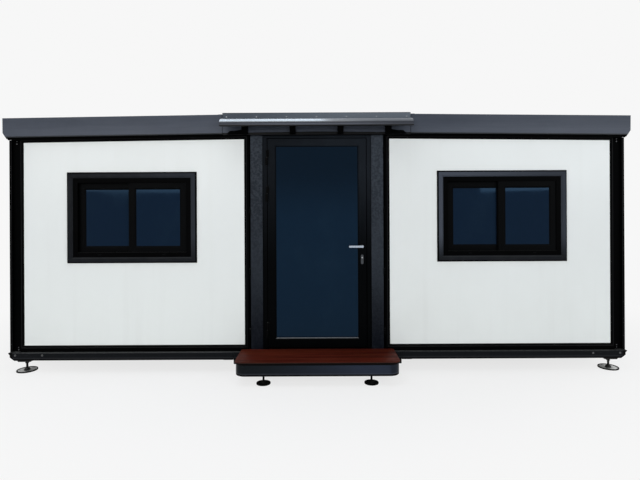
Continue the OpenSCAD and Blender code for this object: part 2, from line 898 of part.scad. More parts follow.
// plan outline with rounded corners, the back edge on y = 0; back_r = 0 keeps it square there
module step_plan(w, d, r, back_r) {
    b = max(back_r, 0.01);
    translate([-w / 2, -d + r]) square([w, d - r - b]);
    translate([-w / 2 + r, -d]) square([w - 2 * r, d / 2]);
    translate([-w / 2 + b, -d / 2]) square([w - 2 * b, d / 2]);
    for (s = [-1, 1]) {
        translate([s * (w / 2 - r), -d + r]) circle(r = r, $fn = 96);
        if (back_r > 0) translate([s * (w / 2 - b), -b]) circle(r = b, $fn = 64);
    }
}

// folded skirt with a top flange, an inward hem and a rib over each row of feet
module step_box() {
    t = 4;
    flange = 34;
    d = step_d - base_out;
    h = base_top - step_z;
    color(black_steel) translate([0, front_y - base_out, step_z]) {
        linear_extrude(h) difference() {
            step_plan(box_w, d, step_r, 0);
            translate([0, -t]) step_plan(box_w - 2 * t, d - 2 * t, step_r - t, 0);
        }
        for (z = [0, h - t]) translate([0, 0, z]) linear_extrude(t) difference() {
            step_plan(box_w, d, step_r, 0);
            translate([0, -flange]) step_plan(box_w - 2 * flange, d - 2 * flange, step_r - flange, 0);
        }
        for (s = [-1, 1]) {
            block([s * step_leg_x - 30, s * step_leg_x + 30], [-d + t, -t], [0, 6]);
            difference() {
                block([s * step_leg_x - 3, s * step_leg_x + 3], [-d + t, -t], [0, h]);
                for (y = [-d * 0.7, -d * 0.3])
                    translate([s * step_leg_x - 4, y, h / 2]) rotate([0, 90, 0]) cylinder(r = 26, h = 8);
            }
        }
    }
}

module step_plank() {
    color(redwood) translate([0, front_y, base_top]) linear_extrude(plank_t)
        step_plan(box_w + 2 * plank_over, step_d, plank_r, 25);
}

// ---------- feet ----------

// swivel pad, ball socket and threaded stem: the stem ends at z = h
module jack_foot(h, pad_r, stem_r) {
    sole = 4;
    rotate_extrude() polygon([[0, 0], [pad_r - 2, 0], [pad_r, 2], [pad_r, sole + 4], [pad_r - 4, sole + 7],
        [pad_r - 10, sole + 7], [pad_r - 16, sole + 4], [stem_r * 3.4, sole + 5], [stem_r * 2.6, sole + 12],
        [stem_r * 2.2, sole + 22], [stem_r, sole + 25], [0, sole + 25]]);
    translate([0, 0, sole + 24]) cylinder(r = stem_r, h = h - sole - 24);
    translate([0, 0, h - 12]) cylinder(r = stem_r * 1.8, h = 12, $fn = 6);
}

module step_feet() {
    color(black_steel) for (s = [-1, 1], y = step_leg_y)
        translate([s * step_leg_x, front_y + y, 0]) jack_foot(step_z, 66, 9);
}

// wing feet hang from chamfered plates under the side beams, core feet from the core beams
module levelling_feet() {
    foot_x = 3015;
    plate_z = base_z - 24;
    core_foot_y = 620;
    color(zinc) both_sides() {
        for (y = [front_y + 60, mid_y, rear_y - 60]) {
            translate([foot_x, y, 0]) jack_foot(plate_z, 95, 10);
            slab_xz(y - 50, y + 50) polygon([[foot_x - 80, base_z], [foot_x - 64, plate_z],
                [foot_x + 62, plate_z], [foot_x + 76, base_z]]);
        }
        for (y = [front_y + core_foot_y, mid_y, rear_y - core_foot_y])
            translate([core_base_x - 61, y, 0]) jack_foot(core_base_z, 95, 12);
    }
}

// ---------- all nodes ----------

core_base_frame();
core_floor();
wing_bases();
wing_floors();
front_posts();
rear_posts();
core_roof_frame();
core_roof_panel();
wing_roof_frames();
left_wing_roof();
right_wing_roof();
ceiling_boards();
left_wing_fascia();
right_wing_fascia();
core_fascias();
hood_sheet();
hood_brackets();
front_left_wall();
front_right_wall();
rear_left_wall();
rear_right_wall();
front_wall_frames();
rear_wall_frames();
left_side_wall();
right_side_wall();
side_wall_frames();
corner_strips();
rear_core_wall();
end_window_frames();
end_window_sashes();
end_window_glass();
side_window_frames();
side_window_sashes();
side_window_glass();
door_frame();
door_leaf();
door_glass();
door_hinge_pins();
door_hinge_barrels();
door_lever();
door_lock_plates();
wing_wall_hinges();
step_box();
step_plank();
step_feet();
levelling_feet();
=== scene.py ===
"""Finishes, fixings, seals and studio for a double-wing expandable container house.
Lengths are in metres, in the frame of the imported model: +X to the right of the door end, the door
faces -Y, +Z is up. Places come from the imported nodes."""

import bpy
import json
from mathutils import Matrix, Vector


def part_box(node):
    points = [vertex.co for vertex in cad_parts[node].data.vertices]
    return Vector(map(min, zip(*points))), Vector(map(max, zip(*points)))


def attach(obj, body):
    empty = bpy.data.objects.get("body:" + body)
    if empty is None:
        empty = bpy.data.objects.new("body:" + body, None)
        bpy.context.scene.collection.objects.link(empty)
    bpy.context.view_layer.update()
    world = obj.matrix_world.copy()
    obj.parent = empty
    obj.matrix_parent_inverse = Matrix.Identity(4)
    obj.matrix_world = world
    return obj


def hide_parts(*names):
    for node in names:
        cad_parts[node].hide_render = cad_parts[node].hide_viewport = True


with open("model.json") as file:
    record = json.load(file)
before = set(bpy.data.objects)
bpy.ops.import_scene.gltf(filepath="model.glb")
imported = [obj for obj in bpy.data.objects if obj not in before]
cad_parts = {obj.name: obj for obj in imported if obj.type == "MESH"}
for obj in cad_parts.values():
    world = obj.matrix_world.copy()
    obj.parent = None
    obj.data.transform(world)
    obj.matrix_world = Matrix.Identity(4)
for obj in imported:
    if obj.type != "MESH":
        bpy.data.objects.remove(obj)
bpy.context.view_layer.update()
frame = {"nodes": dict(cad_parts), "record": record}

import json
import math

import bmesh
import bpy
from mathutils import Vector

MM = 0.001
WELD = 0.02 * MM
ROOF_FALL = 0.012
nodes = frame["nodes"]
scene = bpy.context.scene


# ---- places on the house

def islands(name):
    """The boxes of a node's separate solids, as (lowest, highest) corners, sorted by their middles."""
    solid = bmesh.new()
    solid.from_mesh(nodes[name].data)
    bmesh.ops.remove_doubles(solid, verts=solid.verts, dist=WELD)
    unseen = set(solid.verts)
    boxes = []
    while unseen:
        front = [unseen.pop()]
        low = front[0].co.copy()
        high = front[0].co.copy()
        while front:
            vertex = front.pop()
            low = Vector(map(min, low, vertex.co))
            high = Vector(map(max, high, vertex.co))
            for edge in vertex.link_edges:
                other = edge.other_vert(vertex)
                if other in unseen:
                    unseen.remove(other)
                    front.append(other)
        boxes.append((low, high))
    solid.free()
    return sorted(boxes, key=lambda box: tuple(round(value, 3) for value in (box[0] + box[1])))


END_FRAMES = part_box("front_wall_frames")
REAR_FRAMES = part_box("rear_wall_frames")
SIDE_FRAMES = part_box("side_wall_frames")
RIGHT_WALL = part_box("front_right_wall")
SIDE_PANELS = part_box("right_side_wall")
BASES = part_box("wing_bases")
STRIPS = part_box("corner_strips")
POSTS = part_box("front_posts")
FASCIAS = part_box("core_fascias")
CORE_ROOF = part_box("core_roof_panel")
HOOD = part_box("hood_sheet")
DOOR_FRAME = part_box("door_frame")
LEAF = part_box("door_leaf")
STEP_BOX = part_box("step_box")
STEP_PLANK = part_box("step_plank")
WINDOWS = islands("end_window_frames")

front_y = END_FRAMES[0].y
rear_y = REAR_FRAMES[1].y
mid_y = (front_y + rear_y) / 2
window_half = (WINDOWS[0][1] - WINDOWS[0][0]) / 2
window_x = (WINDOWS[-1][0].x + WINDOWS[-1][1].x) / 2
window_z = (WINDOWS[0][0].z + WINDOWS[0][1].z) / 2


class Face:
    """A flat place on the house: across and up lie in it, out stands off it."""

    def __init__(self, origin, across, up=(0, 0, 1)):
        self.origin = Vector(origin)
        self.across = Vector(across)
        self.up = Vector(up)
        self.out = self.across.cross(self.up)

    def at(self, a, b, out=0.0):
        return self.origin + self.across * a + self.up * b + self.out * out


def end_face(y, rear=False):
    """The door end as seen from outside, or the rear end with across running the other way."""
    return Face((0, y, 0), (-1, 0, 0) if rear else (1, 0, 0))


def side_face(x):
    """A side as seen from outside: the right one for a positive x."""
    return Face((x, 0, 0), (0, math.copysign(1, x), 0))


def roof_face(z):
    return Face((0, 0, z), (1, 0, 0), (0, 1, 0))


def rectangle(low_a, low_b, high_a, high_b):
    return [(low_a, low_b), (high_a, low_b), (high_a, high_b), (low_a, high_b)]


def pane_edge(ends, low, high, bite=0.0):
    """The edge of an upright pane, drawn in by bite, where ends are its places across a face."""
    start, stop = sorted(ends)
    return rectangle(start + bite, low.z + bite, stop - bite, high.z - bite)


def around(a, b, half_a, half_b):
    """A rectangle round a middle. Its half sizes are in millimetres."""
    return rectangle(a - half_a * MM, b - half_b * MM, a + half_a * MM, b + half_b * MM)


# ---- shader arithmetic

class Value:
    """One output of a node. Arithmetic on it adds the Math node that works it out."""

    def __init__(self, graph, socket):
        self.graph = graph
        self.socket = socket

    def math(self, operation, *operands, clamp=False):
        sockets = dict(enumerate(operands))
        return self.graph.node("ShaderNodeMath", {"operation": operation, "use_clamp": clamp}, sockets)

    def __add__(self, other):
        return self.math("ADD", self, other)

    __radd__ = __add__

    def __sub__(self, other):
        return self.math("SUBTRACT", self, other)

    def __rsub__(self, other):
        return self.math("SUBTRACT", other, self)

    def __mul__(self, other):
        return self.math("MULTIPLY", self, other)

    __rmul__ = __mul__

    def __abs__(self):
        return self.math("ABSOLUTE", self)

    def highest(self, other):
        return self.math("MAXIMUM", self, other)

    def clamped(self):
        return self.math("ADD", self, 0.0, clamp=True)

    def between(self, low, high, to_low=0.0, to_high=1.0):
        """Its stretch from low to high, spread over to_low to to_high with soft ends."""
        return self.graph.node("ShaderNodeMapRange", {"interpolation_type": "SMOOTHSTEP"},
            {"Value": self, "From Min": low, "From Max": high, "To Min": to_low, "To Max": to_high})

    def band(self, rise, full, fade, gone):
        """1 from full to fade, and 0 before rise and after gone."""
        return self.between(rise, full) - self.between(fade, gone)


class Graph:
    """The nodes of one material or world, which end in its output node."""

    def __init__(self, owner, ending):
        owner.use_nodes = True
        self.tree = owner.node_tree
        self.tree.nodes.clear()
        self.ending = self.tree.nodes.new(ending)

    def feed(self, socket, value):
        """Gives a socket a constant or a Value."""
        if isinstance(value, Value):
            self.tree.links.new(value.socket, socket)
        elif socket.type == "RGBA" and len(value) == 3:
            socket.default_value = (*value, 1.0)
        else:
            socket.default_value = value

    def node(self, kind, settings=None, sockets=None, output=0):
        """Adds a node: its settings first, then its sockets, and hands back one output."""
        made = self.tree.nodes.new(kind)
        for key, value in (settings or {}).items():
            setattr(made, key, value)
        for key, value in (sockets or {}).items():
            self.feed(made.inputs[key], value)
        return Value(self, made.outputs[output])

    def ray(self, kind):
        """1 for rays of one kind: Camera, Glossy or Transmission."""
        return self.node("ShaderNodeLightPath", output=f"Is {kind} Ray")

    def end_with(self, shader):
        self.feed(self.ending.inputs[0], shader)

    def end_with_mix(self, factor, first, second):
        self.end_with(self.node("ShaderNodeMixShader", sockets={0: factor, 1: first, 2: second}))


finishes = {}


class Finish(Graph):
    """A material on one Principled shader, kept in finishes by name. Keyword values are the shader's
    own constant sockets."""

    def __init__(self, name, **constants):
        self.material = finishes[name] = bpy.data.materials.new(name)
        super().__init__(self.material, "ShaderNodeOutputMaterial")
        self.shader = self.node("ShaderNodeBsdfPrincipled")
        self.end_with(self.shader)
        for key, value in constants.items():
            self.set(key.replace("_", " ").title().replace("Ior", "IOR"), value)

    def set(self, socket, value):
        """Gives one socket of the shader a constant or a Value."""
        self.feed(self.shader.socket.node.inputs[socket], value)

    def place(self, scale=(1, 1, 1)):
        """The point on the house, in metres, stretched by scale."""
        point = self.node("ShaderNodeTexCoord", output="Object")
        return self.node("ShaderNodeVectorMath", {"operation": "MULTIPLY"}, {0: point, 1: scale})

    def axis(self, name):
        return self.node("ShaderNodeSeparateXYZ", sockets={0: self.place()}, output=name)

    def facing_up(self):
        """1 on level upper faces, 0 on upright ones, for dust that settles."""
        normal = self.node("ShaderNodeNewGeometry", output="Normal")
        upwards = self.node("ShaderNodeSeparateXYZ", sockets={0: normal}, output="Z")
        return upwards.between(0.35, 0.95)

    def noise(self, scale, detail=3.0, rough=0.5, stretch=(1, 1, 1)):
        return self.node("ShaderNodeTexNoise", {"noise_dimensions": "3D"},
            {"Vector": self.place(stretch), "Scale": scale, "Detail": detail, "Roughness": rough}, "Fac")

    def cells(self, scale):
        return self.node("ShaderNodeTexVoronoi", {"feature": "F1"},
            {"Vector": self.place(), "Scale": scale}, "Distance")

    def blend(self, factor, first, second):
        """first where factor is 0, second where it is 1: the colour sockets of Mix are 6 and 7."""
        return self.node("ShaderNodeMix", {"data_type": "RGBA"}, {0: factor, 6: first, 7: second}, 2)

    def edge_normal(self, radius):
        return self.node("ShaderNodeBevel", {"samples": 4}, {"Radius": radius})

    def relief(self, height, strength, depth, normal=None):
        """Bump from a height pattern, optionally over another normal."""
        sockets = {"Height": height, "Strength": strength, "Distance": depth}
        if normal:
            sockets["Normal"] = normal
        self.set("Normal", self.node("ShaderNodeBump", sockets=sockets))

    def close(self, colour, pattern, gloss):
        """Sets the colour, and the roughness by gloss: pattern's low and high, and roughness there."""
        self.set("Base Color", colour)
        self.set("Roughness", pattern.between(*gloss))

    def spray(self, colour, pattern, gloss, grain=900.0, depth=0.0004, edge=1.2 * MM):
        """Closes a sprayed or powder-coated finish, with its orange peel and soft edges."""
        self.relief(self.noise(grain, 2.0, 0.5), 0.12, depth, self.edge_normal(edge))
        self.close(colour, pattern, gloss)


# ---- finishes

DUST = (0.050, 0.052, 0.050)
LIP_HEIGHT = FASCIAS[0].z + 31 * MM


def filmed(finish, film, specks, share, clean, dulled):
    """Paint that a thin film of dirt dulls in clouds, and in specks between them."""
    cover = film.between(0.42, 0.78) * share + specks.between(0.5, 0.8) * 0.2
    return finish.blend(cover.clamped(), clean, dulled)


def painted_steel(name, colour, film_colour, rough=0.42, grain=900.0, edge=1.2 * MM, settled=0.8,
        **constants):
    """Sprayed steel: fine orange peel, uneven gloss, soft edges and dust on its level faces."""
    finish = Finish(name, **constants)
    film = finish.noise(1.7, 5.0, 0.62, (1, 1, 0.5))
    paint = filmed(finish, film, finish.noise(60.0, 3.0, 0.6), 0.55, colour, film_colour)
    dusty = finish.facing_up() * finish.noise(9.0, 5.0, 0.65).between(0.3, 0.6) * settled
    gloss = (0.3, 0.75, rough - 0.05, rough + 0.12)
    finish.spray(finish.blend(dusty, paint, DUST), film, gloss, grain, edge=edge)


def base_steel():
    """Black paint of the base beams, with painted highlights along the upper lip, stronger on the left,
    and along a ridge near the foot; painted shade near black along the bottom edge, and near black at
    both ends.
    """
    finish = Finish("base_steel", specular_ior_level=0.05)
    film = finish.noise(1.7, 5.0, 0.62, (1, 1, 0.5))
    specks = finish.noise(60.0, 3.0, 0.6)
    paint = filmed(finish, film, specks, 0.6, (0.0042, 0.0050, 0.0062), (0.0085, 0.0092, 0.0108))
    # Painted highlight: the upper lip is drawn lighter, more so on the left.
    lip = finish.axis("Z").between(BASES[1].z - 8 * MM, BASES[1].z - 5 * MM)
    lip_highlight = finish.axis("X").between(-1.0, 1.0, 0.85, 0.35) * (0.6 + specks * 0.6)
    paint = finish.blend((lip * lip_highlight).clamped(), paint, (0.040, 0.041, 0.043))
    above = finish.axis("Z") - BASES[0].z
    # Painted highlight along a ridge near the foot.
    ridge = above.band(18 * MM, 20 * MM, 28 * MM, 31 * MM)
    paint = finish.blend(ridge * 0.6, paint, (0.023, 0.024, 0.027))
    # Painted shade near black along the bottom edge; the last 40 mm at both ends are near black too.
    shaded_foot = 1 - above.between(14 * MM, 17 * MM)
    ends = abs(finish.axis("X")).between(BASES[1].x - 45 * MM, BASES[1].x - 40 * MM)
    paint = finish.blend(shaded_foot.highest(ends), paint, (0.0006, 0.0006, 0.0007))
    dusty = finish.facing_up() * specks.between(0.3, 0.6) * 0.8
    finish.spray(finish.blend(dusty, paint, DUST), film, (0.3, 0.75, 0.45, 0.62))


def step_steel():
    """Blue-grey paint of the step box, with painted light: lighter to the right and darker at its rounded
    ends, a painted highlight near the foot, and painted shade near black along its upper and lower lips.
    """
    finish = Finish("step_steel", specular_ior_level=0.06)
    film = finish.noise(2.4, 5.0, 0.62, (1, 1, 0.5))
    height = finish.axis("Z") - STEP_BOX[0].z
    # Painted light: lighter to the right, with a little of the film; the rounded ends are drawn darker as
    # shade.
    painted_light = finish.axis("X").between(-0.75, 0.80) * 0.85 + film.between(0.4, 0.8) * 0.15
    painted_light = painted_light * abs(finish.axis("X")).between(0.665, 0.70, 1.0, 0.45)
    paint = finish.blend(painted_light, (0.0048, 0.0070, 0.0086), (0.023, 0.030, 0.049))
    # Painted highlight along a ridge near the foot.
    ridge = height.band(16 * MM, 18 * MM, 25 * MM, 28 * MM)
    paint = finish.blend(ridge * 0.5, paint, (0.046, 0.049, 0.062))
    # Painted shade: near black along the upper lip under the board and along the lower lip.
    shaded_lips = height.between(100 * MM, 102 * MM) + 1 - height.between(14 * MM, 16 * MM)
    paint = finish.blend(shaded_lips.clamped(), paint, (0.0004, 0.0004, 0.0006))
    finish.spray(paint, film, (0.3, 0.75, 0.36, 0.52))


def post_steel():
    """Charcoal post paint with the coarse orange peel of a thick powder coat, and painted light: lighter
    upwards and to the right.
    """
    finish = Finish("post_steel", specular_ior_level=0.07)
    film = finish.noise(2.3, 5.0, 0.62, (1, 1, 0.35))
    grit = finish.noise(140.0, 4.0, 0.7)
    tone = (film.between(0.35, 0.75) * 0.5 + grit.between(0.45, 0.75) * 0.4).clamped()
    height = finish.axis("Z")
    # Painted light: the paint is drawn lighter upwards and a little to the right, with a random mottle at
    # middle height.
    painted_light_and_mottle = height.between(0.25, 1.5) * (0.3 + 0.2 * finish.axis("X").between(-0.9, 0.9))
    painted_light_and_mottle = painted_light_and_mottle + height.between(1.5, 2.5) * 0.25
    mottle = finish.noise(42.0, 3.0, 0.6).between(0.35, 0.65, -0.5, 0.5)
    painted_light_and_mottle = painted_light_and_mottle + mottle * height.between(0.8, 2.2, 0.1, 0.45)
    paint = finish.blend((tone * 0.5 + painted_light_and_mottle).clamped(), (0.0016, 0.0028, 0.0060), (0.040, 0.048, 0.060))
    finish.relief(grit + finish.noise(700.0, 2.0, 0.5) * 0.4, 0.25, 0.0007, finish.edge_normal(2.0 * MM))
    finish.close(paint, film, (0.3, 0.75, 0.40, 0.56))


def graphite_sheet():
    """Coil-coated roof-edge sheet with faint roller streaks, oil-canning and a darker drip lip, painted
    near black as shade where it runs under the hood.
    """
    finish = Finish("graphite_sheet", metallic=0.1, specular_ior_level=0.12)
    streaks = finish.noise(5.0, 5.0, 0.6, (0.35, 0.35, 5.0))
    cloud = finish.noise(2.1, 4.0, 0.6)
    height = finish.axis("Z") + abs(finish.axis("X")) * ROOF_FALL
    low = 1 - height.between(2.46, 2.60)
    tone = streaks.between(0.3, 0.75) * 0.25 + cloud.between(0.3, 0.7) * 0.35 + low * 0.5
    sheet = finish.blend(tone.clamped(), (0.036, 0.043, 0.058), (0.066, 0.074, 0.094))
    # Painted shade: along the core, under the hood, the lip is drawn near black; on the wings it keeps its
    # own darker colour.
    core = 1 - abs(finish.axis("X")).between(HOOD[1].x, HOOD[1].x + 5 * MM)
    lip = finish.blend(core, (0.021, 0.023, 0.026), (0.0020, 0.0024, 0.0030))
    sheet = finish.blend(height.between(LIP_HEIGHT, LIP_HEIGHT + 2 * MM), lip, sheet)
    settled = finish.facing_up() * finish.noise(3.0, 6.0, 0.68).between(0.35, 0.7) * 0.3
    peel = finish.noise(700.0, 2.0, 0.5)
    dents = finish.noise(3.0, 2.0, 0.4)
    finish.relief(peel * 0.25 + dents * 2.0, 0.15, 0.001, finish.edge_normal(1.5 * MM))
    finish.close(finish.blend(settled, sheet, (0.125, 0.125, 0.118)), cloud, (0.3, 0.7, 0.36, 0.5))


def hood_sheet():
    """Smooth graphite sheet under a clear coat that is glossy on the crown and dull along its lip.
    Below the crown it is painted darker as shade, near black along the lowest edge, with a painted
    highlight along the fold; the flange has painted light, lighter towards the right.
    """
    finish = Finish("hood_sheet", coat_roughness=0.2, coat_ior=1.9, specular_ior_level=0.15)
    cloud = finish.noise(4.0, 4.0, 0.6, (0.3, 1, 1))
    wiped = finish.noise(7.0, 4.0, 0.6, (0.25, 2.0, 2.0))
    height = finish.axis("Z") - HOOD[0].z
    crown = height.between(38 * MM, 52 * MM)
    flange = height.between(96 * MM, 106 * MM)
    sheet = finish.blend(cloud, (0.034, 0.043, 0.058), (0.050, 0.058, 0.074))
    # Painted shade below the crown, near black along the lowest edge, with a painted highlight along the
    # fold that fades towards both ends.
    middle = 1 - abs(finish.axis("X")).between(0.3, 0.9) * 0.7
    fold = height.band(9 * MM, 12 * MM, 27 * MM, 31 * MM)
    turned = height.between(9 * MM, 11 * MM)
    lip = finish.blend(turned, (0.0005, 0.0006, 0.0008), (0.022, 0.024, 0.031))
    lip = finish.blend(fold * middle, lip, (0.070, 0.074, 0.090))
    sheet = finish.blend(crown, lip, sheet)
    # Painted light: the flange is drawn lighter towards the right.
    painted_light = finish.axis("X").between(-0.9, 0.4)
    painted_light = finish.blend(painted_light, (0.050, 0.061, 0.078), (0.110, 0.128, 0.152))
    crown = crown * finish.axis("X").between(0.1, 0.75, 1.0, 0.6)
    polish = (wiped.between(0.3, 0.7, 0.66, 0.9) * crown - flange * 0.85).clamped()
    finish.set("Coat Weight", polish)
    finish.relief(finish.noise(6.0, 2.0, 0.5, (0.4, 1, 1)), 0.06, 0.002)
    finish.close(finish.blend(flange, sheet, painted_light), cloud, (0.3, 0.7, 0.38, 0.5))


def white_panel():
    """White coil-coated face of a sandwich panel: almost flat, with a faint embossed skin, and painted
    light that makes it lighter towards the foot.
    """
    finish = Finish("white_panel", coat_weight=0.06, specular_ior_level=0.42)
    film = finish.noise(0.9, 5.0, 0.6, (1, 1, 0.6))
    streaks = finish.noise(3.0, 4.0, 0.6, (3.0, 3.0, 0.12))
    soiled = (film.between(0.45, 0.8) * 0.4 + streaks.between(0.5, 0.85) * 0.35).clamped()
    # Painted light: the panel is drawn lighter towards its foot, as light bounced up from the floor.
    painted_floor_bounce = 1 - finish.axis("Z").between(0.3, 1.6)
    clean = finish.blend(painted_floor_bounce, (0.752, 0.769, 0.757), (0.796, 0.816, 0.795))
    emboss = finish.noise(260.0, 2.0, 0.5)
    waves = finish.noise(1.4, 2.0, 0.4)
    finish.relief(emboss * 0.3 + waves * 2.5, 0.10, 0.0012)
    finish.close(finish.blend(soiled, clean, (0.710, 0.722, 0.700)), film, (0.3, 0.7, 0.33, 0.46))


def door_paint():
    """Black powder coat of the door, with painted light: a little lighter towards its head and to the
    right.
    """
    finish = Finish("door_paint", specular_ior_level=0.02)
    film = finish.noise(5.0, 5.0, 0.65, (1, 1, 0.4)).between(0.35, 0.75)
    # Painted light: lighter towards the head and to the right, varied a little by the film.
    painted_light = finish.axis("Z").between(1.0, 2.5) * (0.75 + film * 0.25)
    painted_light = painted_light * finish.axis("X").between(-0.5, 0.5, 0.6, 1.0)
    paint = finish.blend(painted_light, (0.0005, 0.0008, 0.0011), (0.0150, 0.0185, 0.0240))
    finish.spray(paint, film, (0.0, 1.0, 0.42, 0.52), 1400.0, 0.0003, 0.8 * MM)


def window_frame_paint(name, across, shift, centre):
    """Powder-coated window frame: a charcoal casing band outside, with painted light on the end windows;
    the ledge and tracks within are painted near black as the shade of the recess.
    """
    finish = Finish(name, specular_ior_level=0.014)
    band = 56 * MM
    sideways = abs(abs(finish.axis(across) - shift) - centre) - (window_half.x - band)
    upright = abs(finish.axis("Z") - window_z) - (window_half.z - band)
    beyond = sideways.highest(upright)
    casing = beyond.band(-0.4 * MM, 0.4 * MM, 46 * MM, 47 * MM)
    film = finish.noise(6.0, 5.0, 0.65).between(0.35, 0.75)
    grey = finish.blend(film, (0.0105, 0.0115, 0.0135), (0.0165, 0.0175, 0.0195))
    # Painted light: on the end windows the casing is drawn lighter above about 1.3 m, rising to the right
    # and falling off again beyond 1.4 m.
    if across == "X":
        place = finish.axis("X")
        painted_light = place.between(-2.6, 1.2) - place.between(1.4, 2.5) * 0.5
        painted_light = painted_light * finish.axis("Z").between(1.12, 1.42)
        grey = finish.blend(painted_light, grey, (0.058, 0.066, 0.084))
    # Painted shade: the ledge and tracks within the casing are near black, as the shade of the recess.
    black = finish.blend(film, (0.0003, 0.0004, 0.0005), (0.0010, 0.0011, 0.0013))
    paint = finish.blend(finish.facing_up() * 0.35, finish.blend(casing, black, grey), DUST)
    finish.spray(paint, film, (0.0, 1.0, 0.42, 0.54), 1400.0, 0.0003, 0.8 * MM)


def tinted_glass(name, tint, gloss, head=0.0):
    """Dark blue reflective glazing with slight roller waves and dust, and by head painted shade and a
    painted dark reflection towards the top.
    """
    finish = Finish(name, specular_ior_level=gloss, specular_tint=(0.28, 0.6, 1.0), ior=1.5)
    film = finish.noise(2.2, 5.0, 0.65, (1, 1, 0.7))
    dusty = film.between(0.45, 0.9) * 0.45
    tinted = finish.blend(dusty, tint, (0.008, 0.018, 0.030))
    # Painted shade and reflection: darker towards the top, by head.
    painted_dark_top = finish.axis("Z").between(1.5, 2.1) * head
    finish.relief(finish.noise(1.6, 1.0, 0.4, (1, 1, 2.2)), 0.08, 0.004)
    tinted = finish.blend(painted_dark_top, tinted, (0.0002, 0.0006, 0.0030))
    finish.close(tinted, film, (0.35, 0.8, 0.03, 0.10))


def step_wood():
    """Stained plank: long grain along X, ochre streaks and darker pores; its front edge is painted a
    darker grey-brown as shade, with a painted shadow line along its foot.
    """
    finish = Finish("step_wood", specular_ior_level=0.05)
    grain = finish.noise(9.0, 8.0, 0.7, (0.35, 11.0, 11.0))
    rings = finish.noise(3.0, 5.0, 0.55, (0.25, 6.0, 6.0))
    pores = finish.noise(40.0, 3.0, 0.6, (0.12, 8.0, 8.0))
    ochre = finish.noise(16.0, 4.0, 0.6, (0.10, 6.0, 6.0))
    wood = finish.blend(rings.between(0.3, 0.7), (0.034, 0.0038, 0.0018), (0.082, 0.0120, 0.0058))
    wood = finish.blend(ochre.between(0.52, 0.70) * 0.55, wood, (0.104, 0.0330, 0.0125))
    wood = finish.blend(grain.between(0.45, 0.75) * 0.7, wood, (0.017, 0.0034, 0.0022))
    wood = finish.blend(pores.between(0.58, 0.75) * 0.6, wood, (0.012, 0.0032, 0.0020))
    top = STEP_PLANK[1].z
    # Painted shade: the front edge is drawn a darker grey-brown.
    shaded_front = 1 - finish.axis("Z").between(top - 4.5 * MM, top - 2 * MM)
    wood = finish.blend(shaded_front, wood, (0.027, 0.0155, 0.0125))
    shaded = 1 - finish.axis("Z").between(top - 9 * MM, top - 7 * MM)
    wood = finish.blend(shaded, wood, (0.0012, 0.0003, 0.0003))
    finish.relief(grain * 0.6 - pores * 0.4, 0.35, 0.0012, finish.edge_normal(2.5 * MM))
    finish.close(wood, grain, (0.3, 0.8, 0.44, 0.66))


def floor_board():
    """Vinyl-faced floor board with a pale oak grain."""
    finish = Finish("floor_board")
    grain = finish.noise(4.0, 6.0, 0.65, (8.0, 0.5, 1.0))
    board = finish.blend(grain.between(0.3, 0.75), (0.30, 0.26, 0.21), (0.20, 0.17, 0.135))
    finish.relief(grain, 0.15, 0.0008)
    finish.close(board, grain, (0.3, 0.7, 0.42, 0.55))


def ceiling_board():
    """White liner board with a fine dimpled face."""
    finish = Finish("ceiling_board")
    film = finish.noise(1.3, 4.0, 0.6)
    board = finish.blend(film.between(0.4, 0.8), (0.74, 0.75, 0.73), (0.66, 0.66, 0.64))
    finish.relief(finish.noise(220.0, 2.0, 0.5), 0.12, 0.0008)
    finish.close(board, film, (0.3, 0.7, 0.45, 0.6))


def bare_metal(name, colour, rough, stretch, spangle=0.0):
    """Brushed or zinc-plated metal; spangle adds the crystal pattern of hot zinc."""
    finish = Finish(name, metallic=1.0)
    brushed = finish.noise(180.0, 3.0, 0.6, stretch)
    crystals = finish.cells(70.0)
    shade = (brushed * (1 - spangle) + crystals * spangle).clamped()
    dark = tuple(0.62 * c for c in colour)
    finish.relief(brushed, 0.08, 0.0003, finish.edge_normal(0.8 * MM))
    finish.close(finish.blend(shade, dark, colour), shade, (0.2, 0.8, rough, rough + 0.16))


def zinc_steel():
    """Zinc-plated foot pads, with their rims, hubs and stems painted black."""
    finish = Finish("zinc_steel", specular_ior_level=0.2)
    worn = finish.noise(45.0, 4.0, 0.65)
    crystals = finish.cells(120.0)
    pad = finish.blend((worn * 0.6 + crystals * 0.5).clamped(), (0.34, 0.35, 0.345), (0.56, 0.57, 0.56))
    black = finish.blend(worn.between(0.4, 0.8), (0.0020, 0.0020, 0.0022), (0.0080, 0.0080, 0.0085))
    above = finish.axis("Z").between(9.3 * MM, 9.9 * MM)
    finish.set("Metallic", (0.8 - above * 0.8).clamped())
    finish.relief(worn, 0.2, 0.0006, finish.edge_normal(1.0 * MM))
    finish.close(finish.blend(above, pad, black), worn, (0.3, 0.7, 0.36, 0.52))


def soft_seal(name, colour, bloom_colour):
    """Extruded rubber or silicone: matt, faintly mottled."""
    finish = Finish(name, specular_ior_level=0.03)
    bloom = finish.noise(30.0, 4.0, 0.6)
    finish.relief(finish.noise(500.0, 2.0, 0.5), 0.2, 0.0003)
    seal = finish.blend(bloom.between(0.4, 0.8), colour, bloom_colour)
    finish.close(seal, bloom, (0.3, 0.7, 0.55, 0.75))


painted_steel("black_steel", (0.0005, 0.0006, 0.0007), (0.0018, 0.0018, 0.0021), 0.5,
    specular_ior_level=0.012)
